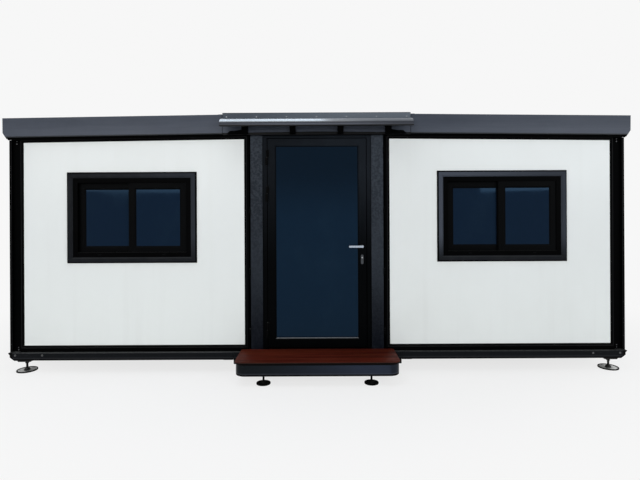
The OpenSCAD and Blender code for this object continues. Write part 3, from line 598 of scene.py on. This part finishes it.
# Painted highlight: the rolled beads are drawn lighter than the black frames, where their edges catch the
# light.
painted_steel("bead_highlight_paint", (0.0080, 0.0082, 0.0088), (0.0160, 0.0164, 0.0170), 0.45,
    specular_ior_level=0.05)
base_steel()
post_steel()
graphite_sheet()
hood_sheet()
white_panel()
floor_board()
ceiling_board()
painted_steel("black_aluminium", (0.0010, 0.0012, 0.0015), (0.0032, 0.0034, 0.0038), 0.46, 1400.0,
    0.8 * MM, 0.3, specular_ior_level=0.022)
door_paint()
window_frame_paint("end_window_paint", "X", 0.0, window_x)
window_frame_paint("side_window_paint", "Y", mid_y, (rear_y - front_y) / 4)
tinted_glass("window_glass", (0.0024, 0.0064, 0.0170), 0.18)
tinted_glass("door_glass", (0.002, 0.007, 0.017), 0.22, 0.9)
painted_steel("hinge_metal", (0.0010, 0.0011, 0.0013), (0.0034, 0.0034, 0.0037), 0.42,
    specular_ior_level=0.03)
bare_metal("lever_metal", (0.49, 0.555, 0.65), 0.2, (0.4, 6.0, 6.0))
bare_metal("lock_plate", (0.070, 0.076, 0.084), 0.3, (5.0, 5.0, 0.4))
bare_metal("cylinder_metal", (0.60, 0.62, 0.65), 0.24, (3.0, 3.0, 3.0))
step_steel()
step_wood()
painted_steel("foot_steel", (0.0020, 0.0020, 0.0022), (0.0065, 0.0065, 0.0068), 0.5,
    settled=0.15, specular_ior_level=0.04)
zinc_steel()
bare_metal("fixing_steel", (0.27, 0.28, 0.30), 0.34, (3.0, 3.0, 3.0), 0.3)
bare_metal("dull_bolts", (0.120, 0.122, 0.126), 0.45, (3.0, 3.0, 3.0), 0.4)
soft_seal("black_rubber", (0.0006, 0.0006, 0.0007), (0.0024, 0.0024, 0.0026))
# Light grey: a painted highlight along the foot of the door glass, where the glazing's lower edge catches
# the light.
soft_seal("grey_rubber", (0.10, 0.105, 0.11), (0.15, 0.155, 0.16))

for part in frame["record"]["subparts"]:
    mesh = nodes[part["node"]].data
    mesh.materials.clear()
    mesh.materials.append(finishes[part["material_slot"]])
for name, finish in {
    "end_window_frames": "end_window_paint", "side_window_frames": "side_window_paint",
    "door_frame": "door_paint", "door_leaf": "door_paint",
    "wing_bases": "base_steel", "core_base_frame": "base_steel", "corner_strips": "black_steel",
}.items():
    nodes[name].data.materials[0] = finishes[finish]


# ---- shapes

def placed(name, data):
    """Puts a new object into the scene."""
    made = bpy.data.objects.new(name, data)
    scene.collection.objects.link(made)
    return made


class Shape:
    """A piece in the making, as one mesh of closed bodies."""

    def __init__(self):
        self.mesh = bmesh.new()

    def skin(self, rings, looped=False):
        """Joins equal rings of points one after another, and closes both ends unless looped."""
        loops = [[self.mesh.verts.new(point) for point in ring] for ring in rings]
        pairs = list(zip(loops, loops[1:]))
        if looped:
            pairs.append((loops[-1], loops[0]))
        else:
            self.mesh.faces.new(loops[0])
            self.mesh.faces.new(loops[-1])
        for near, far in pairs:
            for k, vertex in enumerate(near):
                self.mesh.faces.new((near[k - 1], vertex, far[k], far[k - 1]))

    def turn(self, face, a, b, steps, count=12):
        """Turns (radius, height) steps round a point of the face; a third number gives flat sides."""
        rings = []
        for radius, height, *flats in steps:
            ring = []
            for k in range(count):
                angle = math.tau * k / count
                reach = radius
                if flats:
                    part = math.pi / flats[0]
                    reach *= math.cos(part) / math.cos((angle + part) % (2 * part) - part)
                ring.append(face.at(a + reach * math.cos(angle), b + reach * math.sin(angle), height))
            rings.append(ring)
        self.skin(rings)

    def slab(self, face, outline, low, high, soft=0.0):
        """Raises an outline from low to high, with its upper edge drawn in by soft."""
        centre_a = sum(a for a, _ in outline) / len(outline)
        centre_b = sum(b for _, b in outline) / len(outline)

        def drawn(value, centre):
            return value - math.copysign(min(soft, abs(value - centre)), value - centre)

        rings = [[face.at(a, b, height) for a, b in outline] for height in (low, high - soft)]
        if soft:
            rings.append([face.at(drawn(a, centre_a), drawn(b, centre_b), high) for a, b in outline])
        self.skin(rings)

    def trim(self, face, corners, outline, looped=True):
        """Runs an outline of (inwards, outwards) points along corners, mitred where it turns."""
        rings = []
        count = len(corners)
        for k, corner in enumerate(corners):
            here = Vector(corner)
            into = here - Vector(corners[k - 1]) if looped or k else None
            away = Vector(corners[(k + 1) % count]) - here if looped or k < count - 1 else None
            sides = [Vector((-step.y, step.x)).normalized() for step in (into, away) if step]
            lean = sum(sides, Vector((0, 0)))
            lean = lean / lean.dot(sides[0])
            rings.append([face.at(here.x + lean.x * u, here.y + lean.y * u, v) for u, v in outline])
        self.skin(rings, looped)

    def piece(self, name, slot, finish=None, body="root", crease=38, replaces=None):
        """Turns the shape into a named piece on a body."""
        bmesh.ops.recalc_face_normals(self.mesh, faces=self.mesh.faces)
        for face in self.mesh.faces:
            face.smooth = True
        for edge in self.mesh.edges:
            edge.smooth = edge.calc_face_angle(0.0) < math.radians(crease)
        data = bpy.data.meshes.new(name)
        self.mesh.to_mesh(data)
        self.mesh.free()
        data.materials.append(finishes[finish or slot])
        made = placed(name, data)
        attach(made, body)
        if replaces:
            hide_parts(replaces)


def in_mm(points):
    return [tuple(value * MM for value in point) for point in points]


def screw_head(across_flats, height, flange):
    """Steps of a hexagon head on its pressed flange."""
    half = across_flats / 2 / math.cos(math.pi / 6)
    return in_mm([(flange, 0.0), (flange, 0.8), (half + 0.6, 1.8)]) + [
        (half * MM, 1.8 * MM, 6), (half * MM, (height - 0.8) * MM, 6), ((half - 1.0) * MM, height * MM, 6)]


def dome(radius, height):
    """Steps of a shallow rounded head."""
    return [(radius * math.cos(t) * MM, height * math.sin(t) * MM)
        for t in (math.radians(angle) for angle in (0, 25, 50, 75))]


# ---- roof and rain hood

WING_RIBS = 24
CORE_RIBS = 6
CORE_ROWS = 5


def steps_between(low, high, count):
    """count places at even steps, the first at low and the last at high."""
    return [low + k * (high - low) / (count - 1) for k in range(count)]


def roof_fixings():
    """Self-drilling screws with rubber washers along the crowns of the roof ribs."""
    heads = Shape()
    washers = Shape()
    washer = in_mm([(8.6, 0), (9.0, 0.8), (8.4, 2.2), (7.4, 2.4)])
    head = [(radius, height + washer[-1][1], *flats) for radius, height, *flats in screw_head(8, 6, 7)]

    def fix(x, y, z):
        face = roof_face(z)
        washers.turn(face, x, y, washer)
        heads.turn(face, x, y, head)

    low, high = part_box("right_wing_roof")
    rows = (low.x + 110 * MM, (low.x + high.x) / 2, high.x - 130 * MM)
    for side in (-1, 1):
        for x in rows:
            for rib in range(WING_RIBS):
                y = low.y + (rib + 0.5) * (high.y - low.y) / WING_RIBS
                fix(side * x, y, high.z - (x - low.x) * ROOF_FALL)
    cover = FASCIAS[1].x
    border = 120 * MM
    for rib in range(CORE_RIBS):
        x = -cover + (rib + 0.5) * 2 * cover / CORE_RIBS
        for y in steps_between(CORE_ROOF[0].y + border, CORE_ROOF[1].y - border, CORE_ROWS):
            fix(x, y, CORE_ROOF[1].z - 5 * MM)
    heads.piece("roof_screws", "fixing_steel")
    washers.piece("roof_washers", "black_rubber")


def flashing_rivets():
    """Blind rivets along the raised flashings of the core roof."""
    rivets = Shape()
    low, high = CORE_ROOF
    line = high.x - 82 * MM
    border = 100 * MM
    for side in (-1, 1):
        for y in steps_between(low.y + border, high.y - border, 15):
            rivets.turn(roof_face(high.z), side * line, y, dome(4.5, 2.2))
    rivets.piece("flashing_rivets", "graphite_sheet")


def hood_fixings():
    """Seven flange screws, and the sealant between the hood's flange and the cover behind it."""
    screws = Shape()
    face = end_face(HOOD[1].y - 3 * MM)
    pitch = 304.8 * MM
    for k in range(-3, 4):
        screws.turn(face, k * pitch, HOOD[1].z - 40 * MM, screw_head(8, 5, 7.5))
    screws.piece("hood_screws", "fixing_steel")
    bead = Shape()
    outline = in_mm([(-1.0, -3.0), (-1.0, 0.8), (0.6, 0.9), (1.8, -0.2), (2.6, -3.0)])
    bead.trim(face, [(HOOD[0].x, HOOD[1].z), (HOOD[1].x, HOOD[1].z)], outline, looped=False)
    bead.piece("hood_sealant", "black_rubber")


# ---- walls

def wall_corners(side):
    """Corners of a wing end's white panel, from the lower left as seen from outside."""
    low, high = RIGHT_WALL
    drop = (high.x - low.x) * ROOF_FALL
    if side > 0:
        return [(low.x, low.z), (high.x, low.z), (high.x, high.z - drop), (low.x, high.z)]
    return [(-high.x, low.z), (-low.x, low.z), (-low.x, high.z), (-high.x, high.z - drop)]


def wall_gaskets():
    """Rubber wedges pressed between the wing end frames and their panels, inside and outside."""
    outline = in_mm([(-11.8, -15.6), (-11.8, -3.2), (-10, -1.6), (-6, -1.4), (2.2, -5.6), (3.4, -7.9),
        (-0.3, -7.9), (-0.3, -15.6)])
    for end, outer, inner in (("front", end_face(front_y), end_face(END_FRAMES[1].y, True)),
            ("rear", end_face(rear_y, True), end_face(REAR_FRAMES[0].y))):
        gaskets = Shape()
        for side in (-1, 1):
            gaskets.trim(outer, wall_corners(side), outline)
            gaskets.trim(inner, wall_corners(side), outline)
        gaskets.piece(end + "_wall_gaskets", "black_rubber")


def end_frame_beads():
    """Rolled beads: one round each wing's panel, and one down the inner edge of each corner strip.
    Their lighter paint is a painted highlight.
    """
    beads = Shape()
    round_panel = in_mm([(-23.5, -0.4), (-22.8, 0.9), (-20.5, 1.5), (-18.2, 0.9), (-17.5, -0.4)])
    down_strip = in_mm([(-1.0, -4.0), (-1.0, -0.6), (3.0, 0.4), (7.0, -0.6), (8.0, -2.4), (7.0, -4.0)])
    strip_x = STRIPS[1].x - 20 * MM
    foot = STRIPS[0].z + 4 * MM
    head = STRIPS[1].z - 4 * MM
    for face in (end_face(front_y), end_face(rear_y, True)):
        for side in (-1, 1):
            beads.trim(face, wall_corners(side), round_panel)
            ends = [(side * strip_x, foot), (side * strip_x, head)]
            beads.trim(face, ends if side < 0 else ends[::-1], down_strip, looped=False)
    beads.piece("end_frame_beads", "black_steel", "bead_highlight_paint")


def fold_seals():
    """Rubber bulbs pressed into the fold joints between the core posts and the wing end frames."""
    seals = Shape()
    post_x = POSTS[1].x
    frame_x = islands("front_wall_frames")[-1][0].x
    middle = (post_x + frame_x) / 2
    half = (frame_x - post_x) / 2 + 0.4 * MM
    short = 1 * MM
    face = roof_face(END_FRAMES[0].z + short)
    tall = END_FRAMES[1].z - END_FRAMES[0].z - 2 * short
    sunk = 13 * MM
    for y in (END_FRAMES[1].y - sunk, REAR_FRAMES[0].y + sunk):
        for side in (-1, 1):
            bulb = []
            for k in range(16):
                angle = math.tau * k / 16
                bulb.append((side * middle + half * math.cos(angle), y + 9 * MM * math.sin(angle)))
            seals.slab(face, bulb, 0, tall)
    seals.piece("fold_joint_seals", "black_rubber")


def side_wall_seals():
    """Sealant fillets between the side frames and the panel skins."""
    outline = in_mm([(0, -0.4), (0, 5.5), (1.4, 4.6), (4.5, 1.2), (6, -0.4)])
    seals = Shape()
    low, high = SIDE_PANELS
    for side in (-1, 1):
        edge = pane_edge((side * low.y, side * high.y), low, high)
        seals.trim(side_face(side * high.x), edge, outline)
    seals.piece("side_wall_seals", "black_rubber")


FRAME_BOLTS = [(3.082, 0.222), (3.082, 0.246), (3.090, 2.343), (3.090, 2.368)]
BEAM_BOLTS = [(2.805, 0.180), (3.080, 0.180)]


def frame_bolts():
    """Bolts of the wing ends: in pairs on the side frames, and single ones along the base beams."""
    bolts = Shape()
    small = screw_head(10, 6, 7)
    large = screw_head(13, 8, 11)
    for end in (0, 1):
        upright = end_face(SIDE_FRAMES[end].y, end == 1)
        beam = end_face(BASES[end].y, end == 1)
        for side in (-1, 1):
            for x, z in FRAME_BOLTS:
                bolts.turn(upright, side * x, z, small)
            for x, z in BEAM_BOLTS:
                bolts.turn(beam, side * x, z, large)
    bolts.piece("frame_bolts", "fixing_steel", "dull_bolts")


# ---- windows

def each_window():
    """Face and middle of every window, with its skin plane at height 0 outwards."""
    places = []
    for low, high in WINDOWS:
        rear = low.y > mid_y
        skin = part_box("rear_right_wall")[1].y if rear else RIGHT_WALL[0].y
        middle = (low.x + high.x) / 2
        places.append((end_face(skin, rear), -middle if rear else middle))
    for low, high in islands("side_window_frames"):
        side = math.copysign(1, low.x)
        places.append((side_face(side * SIDE_PANELS[1].x), side * (low.y + high.y) / 2))
    return places


def window_trims():
    """Sealant round each casing and the two slotted drain caps on its ledge."""
    seals = Shape()
    caps = Shape()
    bead = in_mm([(-6.0, -0.3), (-5.6, 1.6), (-3.4, 3.2), (0.6, 3.8), (1.5, -0.3)])
    ledge = 7 * MM
    low_z = window_z - window_half.z
    high_z = window_z + window_half.z
    for face, middle in each_window():
        casing = rectangle(middle - window_half.x, low_z, middle + window_half.x, high_z)
        seals.trim(face, casing, bead)
        for side in (-1, 1):
            a = middle + side * window_half.x / 2
            b = low_z + 80 * MM
            caps.slab(face, around(a, b, 16, 5), ledge, ledge + 4 * MM, 1.5 * MM)
            caps.slab(face, around(a, b - 6 * MM, 12, 1.5), ledge, ledge + 3 * MM, 0.8 * MM)
    seals.piece("window_sealant", "black_rubber")
    caps.piece("window_drain_caps", "black_aluminium")


def glass_gaskets():
    """Wedge gaskets between the sashes and their panes, inside and outside."""
    bite = 10 * MM
    gaskets = Shape()
    outline = in_mm([(-0.2, 0.0), (-0.2, 2.6), (1.4, 2.4), (4.2, 0.9), (4.6, 0.0)])
    for low, high in islands("end_window_glass"):
        for y, way in ((low.y, 1), (high.y, -1)):
            edge = pane_edge((way * low.x, way * high.x), low, high, bite)
            gaskets.trim(end_face(y, way < 0), edge, outline)
    for low, high in islands("side_window_glass"):
        for x, way in ((low.x, -1), (high.x, 1)):
            edge = pane_edge((way * low.y, way * high.y), low, high, bite)
            gaskets.trim(Face((x, 0, 0), (0, way, 0)), edge, outline)
    gaskets.piece("window_glass_gaskets", "black_rubber")


def sash_latches():
    """Crescent latches on the room side of the meeting stiles."""
    latches = Shape()
    stand = 58 * MM
    for face, middle in each_window():
        inside = Face(face.origin - face.out * stand, -face.across)
        a = -middle
        latches.slab(inside, around(a, window_z, 9, 34), 0, 3 * MM, 1 * MM)
        latches.turn(inside, a, window_z, in_mm([(12, 3), (12, 9), (9, 11)]), 24)
        latches.slab(inside, around(a, window_z + 23 * MM, 5, 23), 9 * MM, 14 * MM, 1.5 * MM)
    latches.piece("sash_latches", "black_aluminium")


# ---- door

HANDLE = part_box("door_lever")
LOCKS = islands("door_lock_plates")
spindle_x = (LOCKS[0][0].x + LOCKS[0][1].x) / 2
lever_z = (HANDLE[0].z + HANDLE[1].z) / 2
leaf_y = (LEAF[0].y + LEAF[1].y) / 2


def door_seals():
    """Glazing wedges on both faces of the leaf, a light grey sill seal at the foot of the glass whose
    colour is a painted highlight, the bulb seal in the frame's rebate, and the sweep under the leaf."""
    low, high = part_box("door_glass")
    sides = Shape()
    foot = Shape()
    wedge = in_mm([(-0.2, 0.0), (-0.2, 5.6), (1.4, 5.2), (6.0, 1.2), (6.6, 0.0)])
    sill = in_mm([(-0.2, 0.0), (-0.2, 7.4), (2.0, 7.2), (8.4, 1.2), (9.0, 0.0)])
    edge = pane_edge((low.x, high.x), low, high, 12 * MM)
    for face in (end_face(low.y), end_face(high.y, True)):
        sides.trim(face, edge[1:] + edge[:1], wedge, looped=False)
        foot.trim(face, edge[:2], sill, looped=False)
    sides.piece("door_glass_wedges", "black_rubber", body="door")
    # Its light grey is a painted highlight along the foot of the glass.
    foot.piece("door_glass_sill_seal", "grey_rubber", body="door")
    rebate = Shape()
    bulb = in_mm([(0.8, -0.3), (0.8, 2.2), (2.0, 4.0), (4.2, 4.4), (6.2, 3.2), (6.6, -0.3)])
    jamb_x = 506 * MM
    path = [(jamb_x, LEAF[0].z), (jamb_x, LEAF[1].z), (-jamb_x, LEAF[1].z), (-jamb_x, LEAF[0].z)]
    rebate.trim(end_face(LEAF[1].y + 5 * MM), path, bulb, looped=False)
    rebate.piece("door_frame_seal", "black_rubber")
    sweep = Shape()
    half = LEAF[1].x - 6 * MM
    under = Face((0, leaf_y, LEAF[0].z + 0.5 * MM), (1, 0, 0), (0, -1, 0))
    sweep.slab(under, rectangle(-half, -4 * MM, half, 4 * MM), 0, 6.5 * MM, 2 * MM)
    sweep.piece("door_sweep", "black_rubber", body="door")


def door_lock():
    """Cylinder faces with their key slots, the lock's forend on the leaf's edge and its strike plate."""
    faces = Shape()
    slots = Shape()
    nose_z = lever_z - 116 * MM
    for face, a in ((end_face(LEAF[0].y), spindle_x), (end_face(LEAF[1].y, True), -spindle_x)):
        faces.turn(face, a, nose_z, in_mm([(6.6, 10.9), (6.6, 11.6), (6.0, 12.0)]), 24)
        slots.slab(face, around(a, nose_z, 1.1, 4), 11 * MM, 12.2 * MM)
    faces.piece("lock_cylinders", "lock_plate", "cylinder_metal", body="door")
    slots.piece("key_slots", "hinge_metal", body="door")
    edge = side_face(LEAF[1].x)
    case_z = lever_z - 50 * MM
    forend = Shape()
    forend.slab(edge, around(leaf_y, case_z, 10, 120), 0, 1.5 * MM, 0.4 * MM)
    forend.slab(edge, around(leaf_y, lever_z, 6, 12), 1 * MM, 4.5 * MM, 2 * MM)
    for side in (-1, 1):
        forend.turn(edge, leaf_y, case_z + side * 108 * MM, dome(4, 1.2))
    forend.piece("lock_forend", "lock_plate", body="door")
    jamb = Face((-DOOR_FRAME[0].x - 45 * MM, 0, 0), (0, -1, 0))
    strike = Shape()
    outline = in_mm([(0, -0.5), (0, 0.8), (0.5, 1.2), (8, 1.2), (8, -0.5)])
    strike.trim(jamb, around(-leaf_y, lever_z, 15, 50), outline)
    strike.piece("strike_plate", "hinge_metal")


def hinge_trims():
    """Bearing rings between the hinge halves and the screws of their leaves."""
    rings = Shape()
    fixed_screws = Shape()
    leaf_screws = Shape()
    ring = in_mm([(8.2, 0.1), (8.6, 0.5), (8.2, 0.9)])
    screw = dome(3.2, 1.4)
    barrel = 9 * MM
    border = 5.5 * MM
    step = 14 * MM
    for (pin_low, pin_high), (low, high) in zip(islands("door_hinge_pins"), islands("door_hinge_barrels")):
        axis_y = pin_low.y + barrel
        rings.turn(roof_face(low.z - 1 * MM), pin_high.x - barrel, axis_y, ring, 24)
        for z in (pin_low.z + step, low.z - step):
            fixed_screws.turn(end_face(axis_y + 6 * MM), pin_low.x + border, z, screw)
        for z in (low.z + step, high.z - step):
            leaf_screws.turn(end_face(LEAF[0].y - 3 * MM), high.x - border, z, screw)
    rings.piece("hinge_rings", "hinge_metal", "fixing_steel")
    fixed_screws.piece("hinge_screws", "hinge_metal")
    leaf_screws.piece("hinge_leaf_screws", "hinge_metal", body="door")


# ---- step

def step_board():
    """Stained step board with rounded edges and eight sunk screws."""
    low, high = STEP_PLANK
    corner = 60 * MM
    back = 25 * MM
    outline = []
    for x, y, radius, start in ((low.x, low.y, corner, 180), (high.x, low.y, corner, 270),
            (high.x, high.y, back, 0), (low.x, high.y, back, 90)):
        centre = (x + math.copysign(radius, -x), y + (radius if y == low.y else -radius))
        for k in range(9):
            angle = math.radians(start + 90 * k / 8)
            outline.append((centre[0] + radius * math.cos(angle), centre[1] + radius * math.sin(angle)))
    thick = high.z - low.z
    edge = 3.5 * MM
    face = roof_face(low.z)
    rings = []
    for k in range(5):
        angle = math.radians(22.5 * k)
        rings.append((edge * (1 - math.sin(angle)), edge * (1 - math.cos(angle))))
    rings += [(inset, thick - height) for inset, height in reversed(rings)]
    plank = Shape()

    def drawn(value, start, stop, inset):
        centre = (start + stop) / 2
        return centre + (value - centre) * (1 - inset / ((stop - start) / 2))

    plank.skin([[face.at(drawn(a, low.x, high.x, inset), drawn(b, low.y, high.y, inset), height)
        for a, b in outline] for inset, height in rings])
    plank.piece("step_board", "step_wood", crease=50, replaces="step_plank")
    screws = Shape()
    screw = in_mm([(4.6, 19.0), (4.6, 20.15), (2.0, 20.2), (1.8, 19.4)])
    border = 55 * MM
    for x in (-0.70, -0.25, 0.25, 0.70):
        for y in (low.y + border, high.y - border):
            screws.turn(face, x, y, screw)
    screws.piece("step_board_screws", "fixing_steel", "foot_steel")


# ---- feet

def thread(shape, x, y, low, high, radius):
    """A screw thread: one ridge wound round a stem."""
    pitch = 3.0 * MM
    count = 12
    root = radius - 0.3 * MM
    ridge = [(root, -0.45 * pitch), (radius + 1.2 * MM, 0.0), (root, 0.45 * pitch)]
    rings = []
    for k in range(int((high - low - pitch) / pitch * count) + 1):
        angle = math.tau * k / count
        z = low + pitch / 2 + pitch * k / count
        rings.append([(x + reach * math.cos(angle), y + reach * math.sin(angle), z + lift)
            for reach, lift in ridge])
    shape.skin(rings)


SOLE = in_mm([(-6, 0.2), (0.8, 0.6), (1.4, 2), (1.4, 11), (0.4, 12.6), (-3, 13), (-6.5, 12.2),
    (-7.5, 9.5), (-7.5, 3)])


def foot_trims():
    """Threads and lock nuts on the foot stems, and a rubber sole lapped over the rim of every pad.
    The feet at the wings' outer edges have a bracket: their stem is thinner and ends under it."""
    bracket_x = 3.015
    bracket_z = 0.102
    bracket_stem = 10 * MM
    tallest_plain = 0.120
    soles = Shape()
    for name, slot, stem, pad in (("levelling_feet", "zinc_steel", 12 * MM, 95 * MM),
            ("step_feet", "foot_steel", 9 * MM, 66 * MM)):
        threads = Shape()
        for low, high in islands(name):
            x = (low.x + high.x) / 2
            y = (low.y + high.y) / 2
            top = high.z
            radius = stem
            if name == "levelling_feet" and top > tallest_plain:
                x = math.copysign(bracket_x, x)
                top = bracket_z
                radius = bracket_stem
            thread(threads, x, y, 30 * MM, top - 12 * MM, radius)
            nut = radius * 1.75
            threads.turn(roof_face(top - 26 * MM), x, y, [(nut - 1 * MM, 0, 6), (nut, 1 * MM, 6),
                (nut, 9 * MM, 6), (nut - 1 * MM, 10 * MM, 6)])
            soles.turn(roof_face(0), x, y, [(pad + reach, z) for reach, z in SOLE], 48)
        threads.piece(name + "_threads", slot)
    soles.piece("foot_soles", "black_rubber")


# ---- inside

def room_trims():
    """Cover strips on the joints of the wing ceilings."""
    strips = Shape()
    batten = in_mm([(-22, 0), (-20, 3), (20, 3), (22, 0)])
    low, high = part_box("ceiling_boards")
    inner_x = POSTS[1].x + 47 * MM
    under_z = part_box("core_roof_frame")[0].z - 13 * MM
    border = 60 * MM
    for y in steps_between(low.y + border, high.y - border, 6)[1:-1]:
        for side in (-1, 1):
            under = Face((0, y, under_z), (side, 0, -side * ROOF_FALL), (0, -side, 0))
            strips.trim(under, [(inner_x, 0), (high.x - 30 * MM, 0)], batten, looped=False)
    strips.piece("ceiling_battens", "ceiling_board")


for make in (roof_fixings, flashing_rivets, hood_fixings, wall_gaskets, end_frame_beads, fold_seals,
        side_wall_seals, frame_bolts, window_trims, glass_gaskets, sash_latches, door_seals, door_lock,
        hinge_trims, step_board, foot_trims, room_trims):
    make()


# ---- studio

BACKDROP = (0.93, 0.93, 0.93)
WORLD_LIGHT = {"Color": (0.88, 0.94, 1.0), "Strength": 0.42}
EYE = (0.031, front_y - 4.625, 1.587)
VIEW_FOCUS = 451.3 / 640
VIEW_SHIFT = -0.0375
VIEW_ROLL = 0.27
SENSOR_WIDTH = 36.0


def studio_world():
    """Soft light all round, and the plain backdrop where the camera, gloss or glass looks at it."""
    world = bpy.data.worlds.new("studio")
    scene.world = world
    graph = Graph(world, "ShaderNodeOutputWorld")
    light = graph.node("ShaderNodeBackground", sockets=WORLD_LIGHT)
    backdrop = graph.node("ShaderNodeBackground", sockets={"Color": BACKDROP})
    seen = graph.ray("Camera").highest(graph.ray("Glossy")).highest(graph.ray("Transmission"))
    graph.end_with_mix(seen, light, backdrop)


def studio_floor():
    """Pale floor: it keeps the house's shadow near the house and is the plain backdrop farther off."""
    half = 60.0
    mesh = bpy.data.meshes.new("studio_floor")
    corners = [(a, b, 0) for a, b in rectangle(-half, -half, half, half)]
    mesh.from_pydata(corners, [], [(0, 1, 2, 3)])
    finish = Finish("studio_floor", roughness=0.8, specular_ior_level=0.2, base_color=(0.80, 0.80, 0.80))
    reach = finish.node("ShaderNodeVectorMath", {"operation": "LENGTH"}, {0: finish.place()}, "Value")
    far = reach.between(3.2, 5.5)
    backdrop = finish.node("ShaderNodeEmission", sockets={"Color": BACKDROP})
    seen = finish.ray("Camera") * (0.8 + 0.2 * far) + finish.ray("Glossy")
    finish.end_with_mix(seen.clamped(), finish.shader, backdrop)
    mesh.materials.append(finish.material)
    floor = placed("studio_floor", mesh)


def soft_lamp(name, place, aim, size, watts, colour=(1, 1, 1)):
    lamp = bpy.data.lights.new(name, "AREA")
    lamp.shape = "RECTANGLE"
    lamp.size, lamp.size_y = size
    lamp.energy = watts
    lamp.color = colour
    made = placed(name, lamp)
    made.location = place
    made.rotation_euler = (Vector(aim) - Vector(place)).to_track_quat("-Z", "Y").to_euler()


def camera():
    lens = bpy.data.cameras.new("camera")
    lens.sensor_width = SENSOR_WIDTH
    lens.lens = SENSOR_WIDTH * VIEW_FOCUS
    lens.shift_y = VIEW_SHIFT
    eye = placed("camera", lens)
    eye.location = EYE
    eye.rotation_euler = (math.radians(90), math.radians(VIEW_ROLL), 0)
    bpy.context.scene.camera = eye


scene.view_settings.view_transform = "Standard"
studio_world()
studio_floor()
camera()
soft_lamp("sky", (-1.85, -4.85, 7.2), (-1.85, -4.85, 0), (5.3, 3.9), 135.0, (0.97, 0.99, 1.0))
soft_lamp("edge", (-1.35, -2.25, 4.3), (-1.35, -2.25, 0), (2.9, 1.7), 66.0, (0.74, 0.87, 1.0))
soft_lamp("key", (-4.6, -11.0, 4.2), (0, -2.7, 0.9), (6.0, 4.0), 240.0, (1.0, 0.98, 0.95))
soft_lamp("fill", (6.5, -10.0, 4.2), (0, -2.7, 0.9), (5.0, 4.0), 245.0, (0.95, 0.98, 1.0))
soft_lamp("back", (-4.0, 9.0, 7.0), (0, 2.0, 1.3), (6.0, 4.0), 420.0)
soft_lamp("side", (9.5, 2.0, 6.0), (2.0, 0.5, 1.3), (5.0, 4.0), 230.0)
